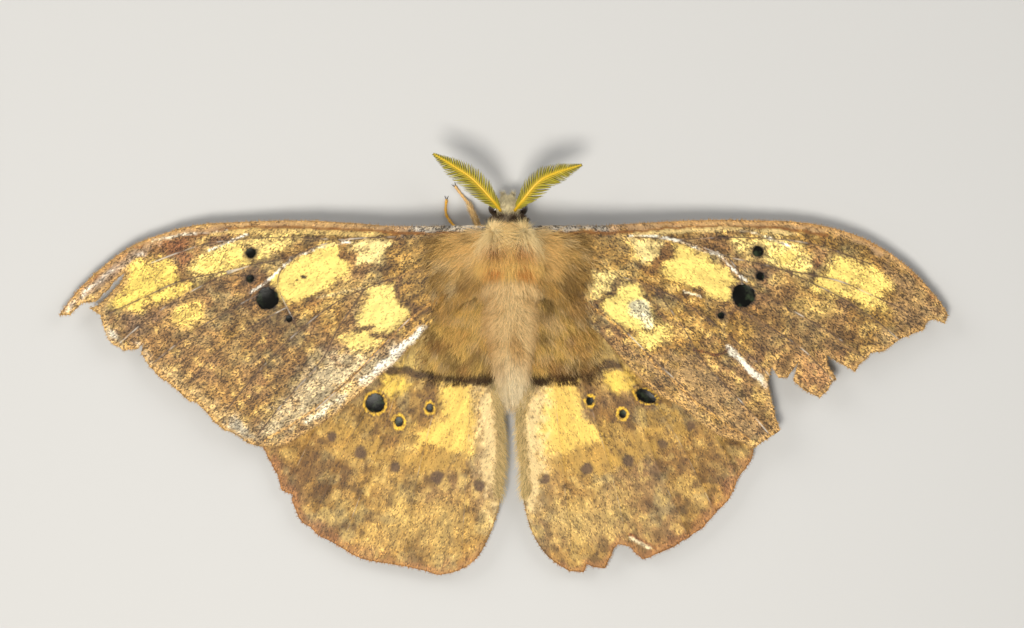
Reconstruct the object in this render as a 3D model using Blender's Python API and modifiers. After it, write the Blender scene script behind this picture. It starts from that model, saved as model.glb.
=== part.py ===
"""A male Copaxa conlani silk moth, life-size, resting on a flat surface with its wings spread.

Run it with blender --background --python part.py. The file works in millimetres and turns them
to metres in one place. The head points to +Y, +Z is up, and z = 0 is the surface under the feet.
The origin is under the middle of the moth, so the body lies a little to the right of it and its
long axis leans by about a degree and a half, as the wings of the real one were held.
"""

import math
import random

import bmesh
import bpy
from mathutils import Matrix, Vector, geometry

MM = 0.001
GAP = 0.3

# The long axis of the body, seen from above: its place at y = 0 and its lean to the left forwards.
AXIS_X = 1.1
AXIS_LEAN = 0.025

# Body sections from front to back: (y, half width, half height, height of the centre).
HEAD = (
    (21.5, 0.6, 0.5, 3.5),
    (21.2, 1.2, 1.1, 3.6),
    (20.6, 1.75, 1.6, 3.8),
    (19.9, 1.85, 1.7, 4.0),
    (19.3, 1.5, 1.4, 4.2),
)
COLLAR = ((19.0, 2.0, 1.9, 4.7), (18.5, 2.5, 2.4, 5.0), (17.9, 2.5, 2.4, 5.2))
THORAX = (
    (17.6, 2.6, 2.5, 5.3),
    (16.6, 3.2, 3.0, 5.35),
    (14.5, 3.6, 3.35, 5.4),
    (12.0, 3.65, 3.35, 5.4),
    (10.0, 3.3, 3.0, 5.25),
    (8.3, 2.75, 2.55, 4.95),
)
THORAX_BACK = 8.6
ABDOMEN = (
    (8.3, 2.7, 2.5, 4.9),
    (6.0, 2.75, 2.6, 4.6),
    (3.0, 2.45, 2.4, 4.1),
    (0.0, 1.95, 2.0, 3.6),
    (-2.5, 1.45, 1.5, 3.1),
    (-4.4, 0.85, 0.95, 2.75),
    (-5.3, 0.35, 0.4, 2.6),
)
SECTION_POWER = 2.3
SECTION_SIDES = 20
RING_STEP = 1.3

# Where the rows of locks stand along the body.
THORAX_ROWS = (17.0, 15.8, 14.6, 13.4, 12.2, 11.0, 9.8)
ABDOMEN_ROWS = (7.6, 6.2, 4.8, 3.4, 2.0, 0.6, -0.8, -2.2, -3.5, -4.6)
COLLAR_ROWS = (18.45,)
HEAD_ROWS = (20.3, 20.85, 21.2)

EYE_PLACE = Vector((1.62, 20.15, 3.7))
EYE_RADIUS = 0.95

# The sockets that the wing roots sit in, cut into the thorax: (front y, back y, height of the root).
SOCKET_X = 2.7
SOCKET_FAR = 9.0
SOCKETS = ((18.3, 10.7, 6.6), (10.9, 8.2, 4.95))
SOCKET_HEIGHT = 1.6

WING_THICKNESS = 0.5
VEIN_THICKNESS = 1.0
VEIN_HALF_WIDTH = 0.5
VEIN_MARGIN = 0.6
EDGE_STEP = 2.3
VEIN_STEP = 2.5
FIELD_STEP = 3.2
LIMB_STEP = 1.1

# A lock of the coat starts this deep in the body, and leaves it at these pitches one after another.
LOCK_SINK = 0.4
LOCK_PITCHES = (50, 22, -3)
LOCK_TAPER = (0.85, 1.0, 0.66)
LOCK_DEPTH = 0.65
# How far a lock's middle stays from the middle of a wing: half a vein, the gap and half a lock.
WING_CLEARANCE = VEIN_THICKNESS / 2 + GAP + LOCK_DEPTH / 2


def axis_x(y):
    """Where the body's axis lies at this y."""
    return AXIS_X - AXIS_LEAN * y


def remove_everything():
    """Empties the scene."""
    for obj in list(bpy.data.objects):
        bpy.data.objects.remove(obj, do_unlink=True)


def material(name, colour, roughness):
    """A Principled material of this linear colour."""
    made = bpy.data.materials.new(name)
    made.use_nodes = True
    shader = made.node_tree.nodes["Principled BSDF"]
    shader.inputs["Base Color"].default_value = (*colour, 1.0)
    shader.inputs["Roughness"].default_value = roughness
    shader.inputs["Metallic"].default_value = 0.0
    return made


def node_from(name, bm, finish=None):
    """An object in the moth's collection from a bmesh drawn in millimetres."""
    bmesh.ops.scale(bm, vec=(MM, MM, MM), verts=bm.verts)
    bmesh.ops.recalc_face_normals(bm, faces=bm.faces)
    mesh = bpy.data.meshes.new(name)
    bm.to_mesh(mesh)
    bm.free()
    made = bpy.data.objects.new(name, mesh)
    MOTH.objects.link(made)
    if finish:
        mesh.materials.append(finish)
        mesh.shade_smooth()
    return made


def spline(points, step):
    """Points about step apart on a smooth curve through the given ones, with both ends kept."""
    knots = [Vector(point) for point in points]
    knots = [2 * knots[0] - knots[1], *knots, 2 * knots[-1] - knots[-2]]
    found = [knots[1]]
    for a, b, c, d in zip(knots, knots[1:], knots[2:], knots[3:]):
        count = max(1, round((c - b).length / step))
        for k in range(1, count + 1):
            t = k / count
            cubic = (3 * b - a - 3 * c + d) * t**3 + (2 * a - 5 * b + 4 * c - d) * t**2
            found.append(0.5 * (cubic + (c - a) * t + 2 * b))
    return found


def rounded(value):
    """A cosine or sine bent so that a section is a little squarer than an ellipse."""
    return math.copysign(abs(value) ** (2 / SECTION_POWER), value)


def ring(section):
    """One cross-section of the body, as points around its axis."""
    y, half_width, half_height, centre = section
    points = []
    for k in range(SECTION_SIDES):
        angle = 2 * math.pi * k / SECTION_SIDES
        across = rounded(math.cos(angle)) * half_width
        up = rounded(math.sin(angle)) * half_height
        points.append(Vector((axis_x(y) + across, y, centre + up)))
    return points


def section_at(sections, y):
    """The body's section at this y."""
    return min(spline(sections, 0.25), key=lambda section: abs(section[0] - y))


def add_loft(bm, rings):
    """Closes a surface over rings of points that follow each other; a ring of one point is a tip."""
    rows = [[bm.verts.new(point) for point in points] for points in rings]
    for near, far in zip(rows, rows[1:]):
        count = len(near)
        for k in range(count):
            after = (k + 1) % count
            beyond = far if len(far) == 1 else (far[after], far[k])
            bm.faces.new((near[k], near[after], *beyond))
    bm.faces.new(rows[0])
    if len(rows[-1]) > 1:
        bm.faces.new(rows[-1])


def body_part(name, sections, finish):
    """A rounded length of the body through its sections."""
    bm = bmesh.new()
    add_loft(bm, [ring(section) for section in spline(sections, RING_STEP)])
    return node_from(name, bm, finish)


def ball(name, centre, radius, finish=None, segments=12):
    """A sphere around this centre."""
    bm = bmesh.new()
    bmesh.ops.create_uvsphere(bm, u_segments=segments, v_segments=segments // 2 + 2, radius=radius)
    bmesh.ops.translate(bm, vec=centre, verts=bm.verts)
    return node_from(name, bm, finish)


def box(name, low, high):
    """A block from one corner to the opposite one."""
    bm = bmesh.new()
    bmesh.ops.create_cube(bm, size=1.0)
    low = Vector(low)
    high = Vector(high)
    bmesh.ops.scale(bm, vec=high - low, verts=bm.verts)
    bmesh.ops.translate(bm, vec=(low + high) / 2, verts=bm.verts)
    return node_from(name, bm)


def combine(target, pieces, operation):
    """Joins the pieces to the target or cuts them from it, removes them and keeps the largest body."""
    group = bpy.data.collections.new("pieces")
    bpy.context.scene.collection.children.link(group)
    for piece in pieces:
        group.objects.link(piece)
    modifier = target.modifiers.new("combine", "BOOLEAN")
    modifier.operation = operation
    modifier.operand_type = "COLLECTION"
    modifier.collection = group
    modifier.solver = "EXACT"
    keep_evaluated(target)
    for piece in pieces:
        bpy.data.objects.remove(piece, do_unlink=True)
    bpy.data.collections.remove(group)
    keep_largest(target)


def keep_evaluated(obj):
    """Applies the object's modifiers."""
    bpy.context.view_layer.update()
    graph = bpy.context.evaluated_depsgraph_get()
    old = obj.data
    mesh = bpy.data.meshes.new_from_object(obj.evaluated_get(graph))
    obj.modifiers.clear()
    obj.data = mesh
    mesh.name = obj.name
    bpy.data.meshes.remove(old)


def keep_largest(obj):
    """Leaves only the closed surface that holds the most."""
    bm = bmesh.new()
    bm.from_mesh(obj.data)
    left = set(bm.verts)
    bodies = []
    while left:
        body = {left.pop()}
        front = list(body)
        while front:
            for edge in front.pop().link_edges:
                for vertex in edge.verts:
                    if vertex in left:
                        left.remove(vertex)
                        body.add(vertex)
                        front.append(vertex)
        faces = {face for vertex in body for face in vertex.link_faces}
        volume = sum(face.calc_center_median().dot(face.normal) * face.calc_area() for face in faces)
        bodies.append((abs(volume), len(bodies), body))
    largest = max(bodies)[2]
    bmesh.ops.delete(bm, geom=[vertex for vertex in bm.verts if vertex not in largest], context="VERTS")
    bm.to_mesh(obj.data)
    bm.free()


def tube(name, path, radii, finish, floor=None):
    """A round limb along a path with a radius for each of its points, flat where it meets the floor."""
    curve = bpy.data.curves.new(name, "CURVE")
    curve.dimensions = "3D"
    curve.bevel_depth = MM
    curve.bevel_resolution = 2
    curve.use_fill_caps = True
    stops = [Vector((*point, radius)) for point, radius in zip(path, radii)]
    points = spline(stops, LIMB_STEP)
    line = curve.splines.new("POLY")
    line.points.add(len(points) - 1)
    for target, point in zip(line.points, points):
        target.co = (*(point.xyz * MM), 1.0)
        target.radius = point.w
    guide = bpy.data.objects.new(name + "_guide", curve)
    MOTH.objects.link(guide)
    bpy.context.view_layer.update()
    graph = bpy.context.evaluated_depsgraph_get()
    mesh = bpy.data.meshes.new_from_object(guide.evaluated_get(graph))
    bpy.data.objects.remove(guide, do_unlink=True)
    bpy.data.curves.remove(curve)
    bm = bmesh.new()
    bm.from_mesh(mesh)
    bpy.data.meshes.remove(mesh)
    bmesh.ops.remove_doubles(bm, verts=bm.verts, dist=0.01 * MM)
    bmesh.ops.scale(bm, vec=(1 / MM, 1 / MM, 1 / MM), verts=bm.verts)
    if floor is not None:
        for vertex in bm.verts:
            vertex.co.z = max(vertex.co.z, floor)
    return node_from(name, bm, finish)


def distance_to(point, line):
    """How far a point in the plane lies from a line of points."""
    nearest = math.inf
    for a, b in zip(line, line[1:]):
        along = b - a
        share = (point - a).dot(along) / along.length_squared
        foot = a + along * min(1.0, max(0.0, share))
        nearest = min(nearest, (point - foot).length)
    return nearest


def inside(point, outline):
    """Whether a point in the plane lies within a closed outline."""
    crossings = 0
    for a, b in zip(outline, [*outline[1:], outline[0]]):
        if (a.y > point.y) != (b.y > point.y):
            crossings += point.x < a.x + (b.x - a.x) * (point.y - a.y) / (b.y - a.y)
    return crossings % 2 == 1


def wing(name, edges, veins, height, finish):
    """A thin curved wing with its veins raised on both faces.

    edges is the outline in stretches: a smooth one is curved through its points, and a torn one
    keeps them as corners. veins are routes of points. height gives the wing's middle surface.
    """
    outline = []
    for kind, points in edges:
        outline += spline(points, EDGE_STEP) if kind == "smooth" else [Vector(point) for point in points]
    routes = [spline(vein, VEIN_STEP) for vein in veins]
    loop = [*outline, outline[0]]
    points = list(outline)
    fixed = []
    for route in routes:
        kept = [point for point in route if distance_to(point, loop) > VEIN_MARGIN]
        fixed += [(len(points) + k, len(points) + k + 1) for k in range(len(kept) - 1)]
        points += kept
    for route in routes:
        others = [other for other in routes if other is not route]
        for before, here, after in zip(route, route[1:], route[2:]):
            side = (after - before).normalized().orthogonal() * VEIN_HALF_WIDTH
            for place in (here + side, here - side):
                clear = all(distance_to(place, other) > VEIN_HALF_WIDTH for other in [*others, loop])
                if clear and inside(place, outline):
                    points.append(place)
    low = Vector((min(p.x for p in outline), min(p.y for p in outline)))
    high = Vector((max(p.x for p in outline), max(p.y for p in outline)))
    for row in range(int((high.y - low.y) / FIELD_STEP) + 1):
        for column in range(int((high.x - low.x) / FIELD_STEP) + 1):
            place = low + Vector((column + row % 2 / 2, row)) * FIELD_STEP
            clear = all(distance_to(place, route) > FIELD_STEP / 2.5 for route in routes)
            if clear and distance_to(place, loop) > FIELD_STEP / 3 and inside(place, outline):
                points.append(place)
    border = [list(range(len(outline)))]
    corners, _, faces, *_ = geometry.delaunay_2d_cdt(points, fixed, border, 1, 1e-4, False)
    bm = bmesh.new()
    thickness = []
    for corner in corners:
        bm.verts.new((corner.x, corner.y, height(corner)))
        ridge = max(0.0, 1 - min(distance_to(corner, route) for route in routes) / VEIN_HALF_WIDTH)
        thickness.append(WING_THICKNESS + (VEIN_THICKNESS - WING_THICKNESS) * ridge)
    bm.verts.ensure_lookup_table()
    for face in faces:
        if inside(sum((corners[k] for k in face), Vector((0, 0))) / 3, outline):
            bm.faces.new([bm.verts[k] for k in face])
    made = node_from(name, bm, finish)
    group = made.vertex_groups.new(name="thickness")
    for index, value in enumerate(thickness):
        group.add([index], value / VEIN_THICKNESS, "REPLACE")
    solid = made.modifiers.new("thickness", "SOLIDIFY")
    solid.thickness = VEIN_THICKNESS * MM
    solid.offset = 0.0
    solid.vertex_group = group.name
    return made


def forewing_height(point):
    """The forewing slopes from its root to just over the surface, past the hindwing."""
    reach = (point - Vector((axis_x(14.0), 14.0))).length - 3.0
    return 1.7 + 4.9 * math.exp(-((max(reach, 0.0) / 30.0) ** 1.2))


def hindwing_height(point):
    """The hindwing lies under the forewing, and nearer to the surface."""
    reach = (point - Vector((axis_x(9.5), 9.5))).length - 3.0
    return 1.25 + 3.7 * math.exp(-max(reach, 0.0) / 17.0)


# Wing outlines, from the front of the root round to its back. Seen from above, in millimetres.
FOREWING_LEFT = (
    ("smooth", ((-2.3, 17.8), (-4.6, 17.9), (-13.5, 17.8), (-20.0, 18.3), (-26.5, 18.6), (-33.0, 18.5),
                (-39.5, 18.1), (-43.4, 17.2), (-47.8, 15.6), (-51.2, 13.4), (-55.1, 9.9), (-57.85, 6.4))),
    ("torn", ((-56.4, 6.4), (-54.9, 7.8), (-53.1, 8.2), (-51.4, 9.7), (-50.6, 10.8), (-49.2, 12.0),
              (-49.6, 10.7), (-50.8, 9.5), (-52.6, 7.7), (-53.8, 7.3), (-52.5, 6.4), (-51.9, 4.4),
              (-51.4, 3.0),
              (-49.4, 1.75), (-47.5, 1.95), (-46.7, 2.9), (-47.1, 1.4), (-46.0, -0.4), (-44.7, -1.6),
              (-41.8, -3.9), (-40.7, -4.9), (-39.8, -5.0), (-37.9, -7.15), (-36.6, -8.3), (-34.6, -9.2),
              (-33.2, -10.3))),
    ("smooth", ((-31.7, -10.7), (-29.6, -10.7), (-27.6, -10.1), (-25.2, -8.6), (-22.3, -6.9),
                (-19.7, -4.7), (-13.5, 0.8), (-10.2, 4.3), (-7.6, 6.8), (-4.4, 9.6), (-2.2, 11.0))),
)
FOREWING_RIGHT = (
    ("smooth", ((3.66, 17.8), (5.5, 17.9), (12.5, 17.9), (19.0, 18.3), (25.5, 18.65), (32.0, 18.65),
                (38.5, 18.4), (43.7, 17.4), (47.7, 15.9), (51.5, 13.5), (54.5, 10.8), (57.0, 7.8),
                (57.85, 6.4))),
    ("torn", ((57.4, 5.2), (56.1, 5.85), (55.05, 5.6), (54.7, 4.55), (53.4, 4.0), (51.6, 3.25), (49.5, 1.75),
              (47.7, 1.4), (46.9, 0.5), (46.1, -0.2), (45.7, -1.0), (43.7, 0.1), (41.9, 1.2), (42.2, -0.3),
              (43.2, -1.95), (42.4, -2.6), (42.2, -3.4), (41.1, -4.4), (39.2, -3.5), (37.6, -2.1),
              (38.4, 0.5),
              (36.9, -1.8), (35.8, -1.8), (34.8, -0.3), (34.25, -2.3), (34.7, -4.2), (35.3, -6.6),
              (35.9, -8.7),
              (34.9, -9.2), (33.6, -10.1))),
    ("smooth", ((32.4, -11.0), (30.5, -10.0), (27.4, -9.0), (23.5, -5.85), (19.7, -3.6), (16.2, -0.3),
                (12.5, 3.8), (8.6, 6.8), (5.9, 9.3), (3.83, 11.0))),
)
HINDWING_LEFT = (
    ("smooth", ((-2.15, 10.5), (-4.4, 10.2), (-10.9, 8.0), (-18.7, 3.1), (-26.5, -4.0), (-30.6, -8.6))),
    ("torn", ((-31.4, -10.7), (-30.9, -11.8), (-29.6, -14.3), (-28.9, -16.5), (-27.4, -17.0), (-27.6, -17.8),
              (-26.7, -20.15), (-24.2, -22.2))),
    ("smooth", ((-21.6, -23.7), (-18.5, -25.4), (-13.4, -26.3), (-10.2, -27.0), (-8.25, -27.5),
                (-5.65, -26.8),
                (-3.4, -25.2), (-1.9, -22.4), (-0.7, -18.9), (-0.26, -15.2), (0.05, -12.0), (0.0, -9.6),
                (-0.26, -6.5), (-0.6, -4.3), (-1.2, -1.0), (-1.9, 3.0), (-2.3, 6.0), (-2.35, 8.4))),
)
HINDWING_RIGHT = (
    ("smooth", ((3.84, 10.5), (5.4, 10.2), (11.9, 8.0), (19.7, 3.1), (27.5, -4.0), (31.8, -8.6))),
    ("torn", ((32.6, -11.4), (32.3, -12.6), (30.5, -15.0), (29.3, -17.9), (27.9, -19.1), (26.1, -21.3),
              (22.8, -23.5), (19.4, -25.1), (18.2, -25.5), (16.4, -23.9), (15.0, -23.5), (14.4, -24.05),
              (13.6, -25.9), (13.2, -26.65), (11.8, -26.5), (10.9, -26.1), (10.5, -27.2))),
    ("smooth", ((8.5, -27.0), (5.9, -25.2), (3.9, -22.3), (2.7, -18.3), (2.2, -12.2), (1.8, -7.8),
                (2.0, -5.9),
                (2.6, -4.0), (3.4, -1.0), (3.9, 3.0), (4.15, 6.0), (4.1, 8.4))),
)

# Main veins of the left wings. The right wings mirror them about the body.
FOREWING_VEINS = (
    ((-2.9, 15.6), (-8.3, 16.4), (-20.6, 16.1), (-27.6, 13.9), (-34.0, 12.4), (-41.0, 9.2), (-46.0, 6.0),
     (-49.8, 2.8)),
    ((-20.6, 16.1), (-30.0, 16.4), (-40.0, 15.2), (-47.5, 12.6)),
    ((-29.2, 10.4), (-35.0, 7.3), (-40.7, 3.9), (-45.6, 0.1)),
    ((-2.9, 13.8), (-12.0, 11.8), (-20.5, 8.6), (-26.5, 4.3), (-31.8, -1.0), (-36.3, -6.4)),
    ((-18.0, 9.6), (-21.4, 4.55), (-23.7, 0.3), (-28.5, -5.0), (-31.9, -9.2)),
    ((-2.9, 12.2), (-8.0, 9.3), (-12.5, 5.5), (-18.7, -0.8), (-24.9, -6.4)),
    ((-27.6, 13.9), (-29.2, 10.4), (-26.5, 4.3)),
)
HINDWING_VEINS = (
    ((-2.8, 9.6), (-10.0, 6.2), (-17.7, 0.2), (-24.0, -8.0), (-28.0, -15.5)),
    ((-10.0, 6.2), (-13.0, -0.5), (-16.0, -10.0), (-20.5, -22.0)),
    ((-2.9, 8.2), (-6.0, 2.5), (-9.0, -6.0), (-11.5, -16.0), (-13.0, -25.0)),
    ((-3.2, 6.6), (-4.0, 0.0), (-4.6, -10.0), (-5.4, -24.0)),
)


def mirrored(veins):
    """The same veins on the right, about the body's axis."""
    return [[(2 * axis_x(y) - x, y) for x, y in vein] for vein in veins]


# Each leg: where it leaves the thorax (y and angle round the section), then its joints to the toe.
LEGS = {
    "leg_front_left": (
        16.4, 235,
        ((-3.3, 17.9, 2.3), (-4.5, 20.8, 0.95), (-5.5, 22.1, 0.2), (-6.4, 23.3, 0.2)),
    ),
    "leg_front_right": (
        16.0, 305,
        ((5.6, 16.6, 2.4), (7.6, 15.2, 0.95), (9.0, 15.5, 0.2), (10.6, 15.9, 0.2)),
    ),
    "leg_mid_left": (
        13.6, 230,
        ((-5.8, 14.4, 2.6), (-6.2, 17.6, 0.95), (-7.5, 19.5, 0.2), (-7.5, 21.6, 0.2)),
    ),
    "leg_mid_right": (
        13.2, 310,
        ((7.3, 12.6, 2.6), (10.0, 10.8, 0.95), (11.6, 11.0, 0.2), (13.4, 11.4, 0.2)),
    ),
    "leg_hind_left": (
        10.6, 232,
        ((-5.6, 8.0, 2.2), (-6.8, 1.6, 0.95), (-7.6, -1.4, 0.2), (-8.4, -4.6, 0.2)),
    ),
    "leg_hind_right": (
        10.4, 308,
        ((7.0, 8.0, 2.2), (8.6, 1.4, 0.95), (9.5, -1.4, 0.2), (10.4, -4.6, 0.2)),
    ),
}
LEG_RADII = (0.5, 0.6, 0.55, 0.38, 0.34, 0.32)
CLAW_LENGTH = 0.6
CLAW_SPREAD = 24

# The midrib of each feeler: the angle at which it leaves the head, then its points to the tip.
ANTENNAE = {
    "antenna_left": (112, ((-1.3, 21.4, 7.0), (-3.85, 23.7, 7.8), (-6.24, 25.35, 7.8), (-8.9, 27.0, 7.3))),
    "antenna_right": (68, ((2.3, 21.3, 7.0), (4.37, 23.3, 7.8), (6.36, 24.45, 7.8), (9.95, 25.6, 7.3))),
}
ANTENNA_Y = 20.0
MIDRIB_RADII = (0.36, 0.32, 0.3, 0.28, 0.26, 0.22)
BRANCHES = 11
BRANCH_SLANT = 54
BRANCH_LENGTHS = {"front": 1.5, "back": 2.1}
BRANCH_RADII = (0.25, 0.1)
PALP_PATH = ((0.5, 21.3, 2.7), (0.62, 21.9, 2.7), (0.68, 22.6, 3.1))


def surface_point(sections, y, angle):
    """A point on a body length and the direction that faces out of it there."""
    _, half_width, half_height, centre = section_at(sections, y)
    across = rounded(math.cos(math.radians(angle)))
    up = rounded(math.sin(math.radians(angle)))
    outwards = Vector((
        math.copysign(abs(across) ** (SECTION_POWER - 1), across) / half_width,
        0.0,
        math.copysign(abs(up) ** (SECTION_POWER - 1), up) / half_height,
    )).normalized()
    return Vector((axis_x(y) + across * half_width, y, centre + up * half_height)), outwards


def wing_clear(place):
    """The place, moved up or down out of the way of the wing beside the body."""
    beside = abs(place.x - axis_x(place.y))
    plan = place.xy
    if 10.3 < place.y < 18.4 and beside > SOCKET_X:
        height = forewing_height(plan)
    elif place.y <= 10.9 and beside > section_at(ABDOMEN if place.y < 8.3 else THORAX, place.y)[1] - 0.2:
        height = hindwing_height(plan)
    else:
        return place
    if place.z > height:
        return Vector((place.x, place.y, max(place.z, height + WING_CLEARANCE)))
    return Vector((place.x, place.y, min(place.z, height - WING_CLEARANCE)))


def add_lock(bm, root, outwards, lie, length, width, keep_clear=lambda place: place):
    """One flat lock, tapered and bent over along its lie."""
    lie = (lie - outwards * lie.dot(outwards)).normalized()
    side = lie.cross(outwards)
    place = root - outwards * LOCK_SINK
    rings = []
    for pitch, share in zip(LOCK_PITCHES, LOCK_TAPER):
        heading = lie * math.cos(math.radians(pitch)) + outwards * math.sin(math.radians(pitch))
        broad = side * width / 2 * share
        deep = side.cross(heading) * LOCK_DEPTH / 2 * share
        rings.append([place + broad, place + deep, place - broad, place - deep])
        place = keep_clear(place + heading * length / len(LOCK_PITCHES))
    rings.append([place])
    add_loft(bm, rings)


def lock_piece(*details):
    """One lock as an object of its own, from the same details as add_lock."""
    bm = bmesh.new()
    add_lock(bm, *details)
    return node_from("lock", bm)


def coat(target, sections, rows, spacing, style, seed):
    """Fuses rows of locks round a length of the body.

    style takes a place on the body (its y, angle and point) and gives the lie, length and width of
    the lock there, or None where none grows.
    """
    chance = random.Random(seed)
    pieces = []
    for row, y in enumerate(rows):
        _, half_width, half_height, _ = section_at(sections, y)
        count = max(5, round(math.pi * (half_width + half_height) / spacing))
        for k in range(count):
            angle = 360 * (k + row % 2 / 2 + chance.uniform(-0.15, 0.15)) / count
            at = y + chance.uniform(-0.2, 0.2)
            root, outwards = surface_point(sections, at, angle)
            told = style(at, angle % 360, root)
            belly = 190 < angle % 360 < 350
            if told and not (belly and (row + k) % 2):
                lie, length, width = told
                length *= chance.uniform(0.88, 1.12)
                lie = Vector(lie) + Vector((chance.uniform(-0.15, 0.15), 0, 0))
                pieces.append(lock_piece(root, outwards, lie, length, width, wing_clear))
    combine(target, pieces, "UNION")


def near_leg(root):
    """Whether a leg leaves the body close to this place."""
    starts = [surface_point(THORAX, y, angle)[0] for y, angle, _ in LEGS.values()]
    return min((root - start).length for start in starts) < 1.5


def thorax_style(y, angle, root):
    """Wool swept back over the back, out over the wing bases and short underneath."""
    side = math.copysign(1, math.cos(math.radians(angle)))
    height = forewing_height(root.xy) if y > 10.4 else hindwing_height(root.xy)
    beside = abs(root.x - axis_x(y))
    if beside > 2.3 and abs(root.z - height) < 1.0 or near_leg(root):
        return None
    if angle > 180:
        return (side * 0.5, -1, 0), 2.4, 2.3
    if beside > 2.1:
        return (side, -0.5, 0), 4.4, 1.7
    return (side * 0.3 * beside, -1, 0), 3.3, 2.0


def abdomen_style(y, angle, root):
    """Wool swept back, and out over the hindwings at the sides."""
    side = math.copysign(1, math.cos(math.radians(angle)))
    beside = abs(math.cos(math.radians(angle)))
    if beside > 0.75 and abs(root.z - hindwing_height(root.xy)) < 0.8 or (y > 6.5 and near_leg(root)):
        return None
    length = 2.9 if y > -3.5 else 1.9
    width = 1.9 if y > 0 else 1.6
    return (side * beside * 0.7, -1, 0), length * (1 if angle < 180 else 0.85), width


def collar_style(y, angle, root):
    """A ruff that stands forward over the head."""
    if 200 <= angle <= 340:
        return None
    return (math.cos(math.radians(angle)) * 0.9, 0.8, 0), 1.9, 1.3


def head_style(y, angle, root):
    """A forward tuft on the face, clear of the eyes and the feelers."""
    feelers = [surface_point(HEAD, ANTENNA_Y, where)[0] for where, _ in ANTENNAE.values()]
    eyes = [Vector((axis_x(EYE_PLACE.y) + side * EYE_PLACE.x, *EYE_PLACE.yz)) for side in (-1, 1)]
    if min((root - feeler).length for feeler in feelers) < 0.95 or 200 < angle < 340:
        return None
    if min((root - eye).length for eye in eyes) < EYE_RADIUS + 0.55:
        return None
    return (0, 1, 0), 1.3, 0.9


def antenna(name, finish):
    """A feathered feeler: a thin midrib with a row of slanting branches along each side."""
    angle, points = ANTENNAE[name]
    start, outwards = surface_point(HEAD, ANTENNA_Y, angle)
    path = [start + outwards * (GAP + 0.05), start + outwards * 0.9, *(Vector(point) for point in points)]
    made = tube(name, path, MIDRIB_RADII, finish)
    line = spline(path, 0.1)
    branches = []
    for k in range(BRANCHES):
        share = (k + 0.5) / BRANCHES
        spot = round((0.17 + 0.8 * share) * (len(line) - 1))
        along = (line[min(spot + 1, len(line) - 1)] - line[spot - 1]).normalized()
        back = Vector((along.y, -along.x, 0)) * math.copysign(1, along.x)
        envelope = math.sin(math.pi * (0.16 + 0.7 * share)) ** 0.8
        for row, across in (("back", back), ("front", -back)):
            slant = math.radians(BRANCH_SLANT)
            heading = (along * math.cos(slant) + across * math.sin(slant) - Vector((0, 0, 0.15))).normalized()
            length = BRANCH_LENGTHS[row] * envelope
            branches.append(spike("branch", line[spot], heading, length, BRANCH_RADII))
    combine(made, branches, "UNION")
    return made


def spike(name, root, heading, length, radii):
    """A four-sided taper from its root along its heading."""
    bm = bmesh.new()
    bmesh.ops.create_cone(bm, cap_ends=True, segments=4, radius1=radii[0], radius2=radii[1], depth=length)
    bmesh.ops.rotate(bm, cent=(0, 0, 0), matrix=heading.to_track_quat("Z", "Y").to_matrix(), verts=bm.verts)
    bmesh.ops.translate(bm, vec=root + heading * length / 2, verts=bm.verts)
    return node_from(name, bm)


def leg(name, finish, grow=0.0):
    """A leg bent at knee and ankle, its foot lying flat on the surface."""
    y, angle, joints = LEGS[name]
    start, outwards = surface_point(THORAX, y, angle)
    path = [start + outwards * (GAP * 1.3 - grow), start + outwards * 1.1, *joints]
    return tube(name, path, [radius + grow for radius in LEG_RADII], finish, floor=-grow)


def clawed_leg(name, finish):
    """A leg with its two claws."""
    made = leg(name, finish)
    ankle, toe = (Vector(joint) for joint in LEGS[name][2][-2:])
    claws = []
    for turn in (-CLAW_SPREAD, CLAW_SPREAD):
        heading = (toe - ankle).normalized()
        heading.rotate(Matrix.Rotation(math.radians(turn), 3, "Z"))
        claws.append(spike("claw", toe - heading * 0.15, heading, CLAW_LENGTH, (0.19, 0.07)))
    combine(made, claws, "UNION")


MOTH = bpy.data.collections.new("copaxa_conlani")


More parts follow.
